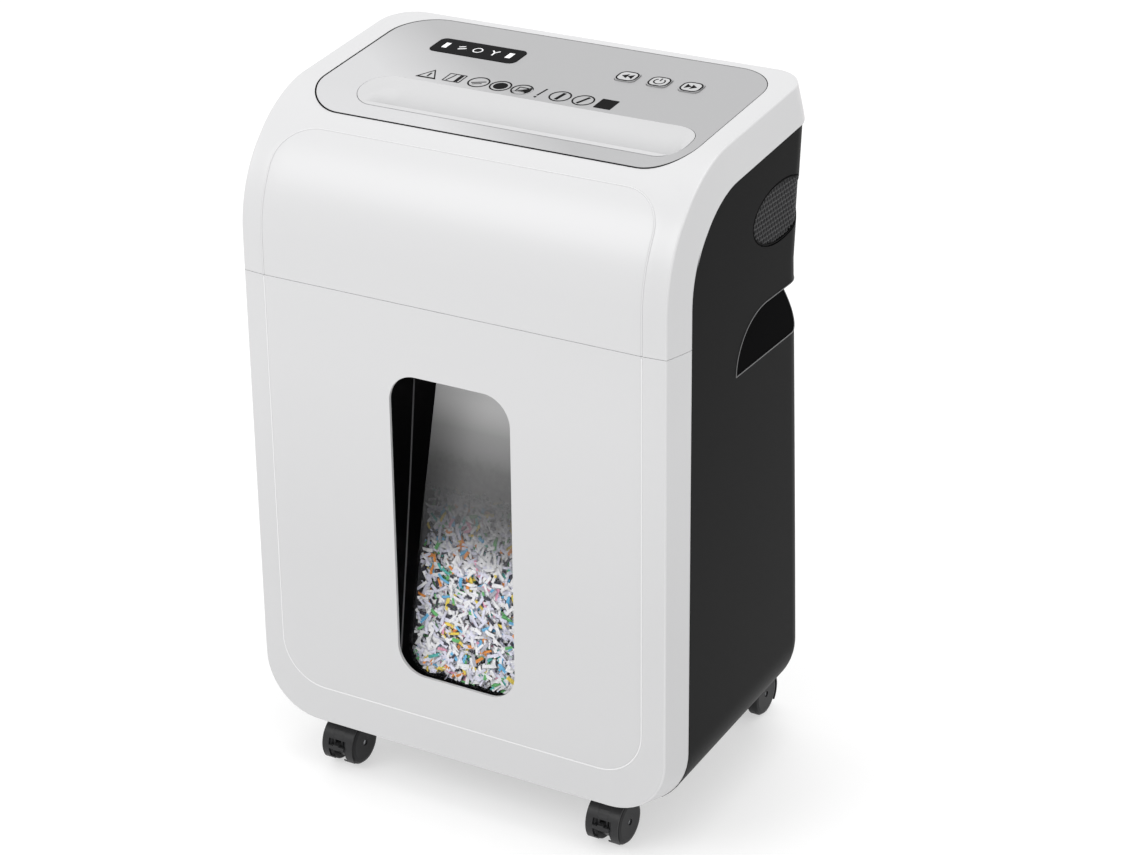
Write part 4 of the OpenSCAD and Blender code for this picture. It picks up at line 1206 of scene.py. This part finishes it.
# Depth and height along the rib on each side wall of the window, and its section across and along the wall
STEP_LINE = [(3.0, 115.0), (4.2, 123.0), (14.8, 193.0), (23.5, 253.0), (32.8, 327.0), (34.2, 338.0)]
STEP_SECTION = [(50.5, -0.7), (50.0, -0.6), (49.75, 0.0), (50.0, 0.6), (50.5, 0.7), (50.5, -0.7)]


def window_steps():
    """Fine ribs on the two side walls of the window's recess, in a lighter grey as a painted highlight."""
    for side, word in [(-1, "left"), (1, "right")]:
        bm = bmesh.new()
        rows = [[row(side * across, y + along, z) for y, z in STEP_LINE] for across, along in STEP_SECTION]
        add_strip(bm, rows)
        fill_ends(bm)
        form(word + "_window_rib", bm, ["rib_painted_highlight"], "bin", row(side * 40, 20, 230),
             (-side, 0, 0), 50)


# ---------------- CAD nodes that stay


def dress(name, material, edge):
    """Gives a CAD node that stays its look, and softens its edges by a width."""
    obj = nodes[name]
    obj.data.materials.clear()
    obj.data.materials.append(material)
    if edge:
        soften(obj, edge, 2, 40)


CAD_LOOKS = [
    ("cover", 0.5, ["rear_cover", "base_plate"]),
    ("trim_and_recess_shade", 0.4, ["window_bezel"]),
    ("trim_and_recess_shade", 0.25, ["paper_sensor_lever"]),
    ("inner", 0.6, ["bin_tub", "head_deck", "bin_runners", "front_stripper_comb", "rear_stripper_comb"]),
    ("gloss_black", 0.25, ["display_window"]),
    ("silver", 0.4, ["reverse_key", "power_key", "forward_key"]),
    ("plate", 0.3, ["left_frame_plate", "right_frame_plate", "tie_rods"]),
    ("bronze", 0.2, ["shaft_bearings"]),
    ("cutter", 0.12, ["front_cutter_discs", "rear_cutter_discs", "front_cutter_shaft", "rear_cutter_shaft"]),
    ("machined", 0.15, ["front_shaft_gear", "rear_shaft_gear", "drive_gear", "idler_pin", "motor_pinion"]),
    ("nylon", 0.15, ["idler_gear"]),
    ("motor", 0.8, ["motor"]),
    ("board", 0.1, ["circuit_board"]),
    ("rubber", 0.6, ["cord_inlet"]),
    ("machined", 0.4, ["cover_screws"]),
]
CASTERS = ["front_left", "front_right", "rear_left", "rear_right"]


def dress_cad():
    for look, edge, names in CAD_LOOKS:
        for name in names:
            dress(name, MATS[look], edge)
    dress("window_pane", pane_material(), 0.0)
    for corner in CASTERS:
        dress(corner + "_caster_hood", MATS["caster"], 0.4)
        dress(corner + "_caster_stem", MATS["machined"], 0.3)
        dress(corner + "_caster_wheels", MATS["wheel"], 0.4)
        dress(corner + "_caster_axle", MATS["machined"], 0.3)
        if corner.startswith("front"):
            dress(corner + "_brake_lever", MATS["caster"], 0.3)


# ---------------- studio


def area_light(name, place, target, size, power):
    data = bpy.data.lights.new(name, "AREA")
    data.shape = "DISK"
    data.size = size
    data.energy = power
    obj = new_object(name, data)
    obj.location = place
    obj.rotation_euler = (Vector(target) - Vector(place)).to_track_quat("-Z", "Y").to_euler()


FLOOR_HALF_M = 30.0
FLOOR_GLOW = 0.52
ROOM_LIGHT = 0.94


def studio():
    """A plain pale floor and room, with one soft light in front and one above."""
    mesh = bpy.data.meshes.new("studio_floor")
    corners = [(-1, -1), (1, -1), (1, 1), (-1, 1)]
    mesh.from_pydata([(x * FLOOR_HALF_M, y * FLOOR_HALF_M, 0) for x, y in corners], [], [(0, 1, 2, 3)])
    floor = new_object("studio_floor", mesh)
    sweep = surface("floor_white", (0.48, 0.48, 0.48), 0.6, grain=40.0, bump=0.0, spread=0.004)
    shader = sweep.node_tree.nodes["Principled BSDF"]
    shader.inputs["Emission Color"].default_value = (1.0, 1.0, 1.0, 1.0)
    shader.inputs["Emission Strength"].default_value = FLOOR_GLOW
    mesh.materials.append(sweep)
    world = bpy.data.worlds.new("studio_world")
    bpy.context.scene.world = world
    world.use_nodes = True
    background = world.node_tree.nodes["Background"]
    background.inputs["Color"].default_value = (1.0, 1.0, 1.0, 1)
    background.inputs["Strength"].default_value = ROOM_LIGHT
    middle = (0.0, 0.0, 0.28)
    area_light("key", (-1.3, -2.4, 2.4), middle, 2.0, 35.0)
    area_light("top", (0.2, 0.2, 3.0), middle, 2.4, 24.0)
    bpy.context.scene.view_settings.view_transform = "Standard"


CAMERA_AT = (1.0435, -1.7246, 1.1705)
CAMERA_TURN = (30.69, 24.25, -0.566)


def camera():
    """Looks down on the right front corner, turned a little about its own axis."""
    azimuth, elevation, roll = [radians(a) for a in CAMERA_TURN]
    back = Vector((sin(azimuth) * cos(elevation), -cos(azimuth) * cos(elevation),
                   sin(elevation)))
    right = (-back).cross(Vector((0, 0, 1))).normalized()
    up = right.cross(-back)
    turned_right = right * cos(roll) + up * sin(roll)
    turned_up = -right * sin(roll) + up * cos(roll)
    data = bpy.data.cameras.new("camera")
    data.sensor_width = 36.0
    data.lens = 94.17
    data.clip_end = 100.0
    obj = new_object("camera", data)
    rotation = Matrix((turned_right, turned_up, back)).transposed().to_4x4()
    obj.matrix_world = Matrix.Translation(CAMERA_AT) @ rotation
    bpy.context.scene.camera = obj


camera()
studio()
dress_cad()
head_skin()
bin_skin()
for side, word in [(1, "right"), (-1, "left")]:
    side_cover(side, word)
    vent_mesh(side, word)
    vent_rim(side, word)
panel_skin()
throat_skin()
key_marks()
panel_marks()
display_marks()
window_steps()
paper()
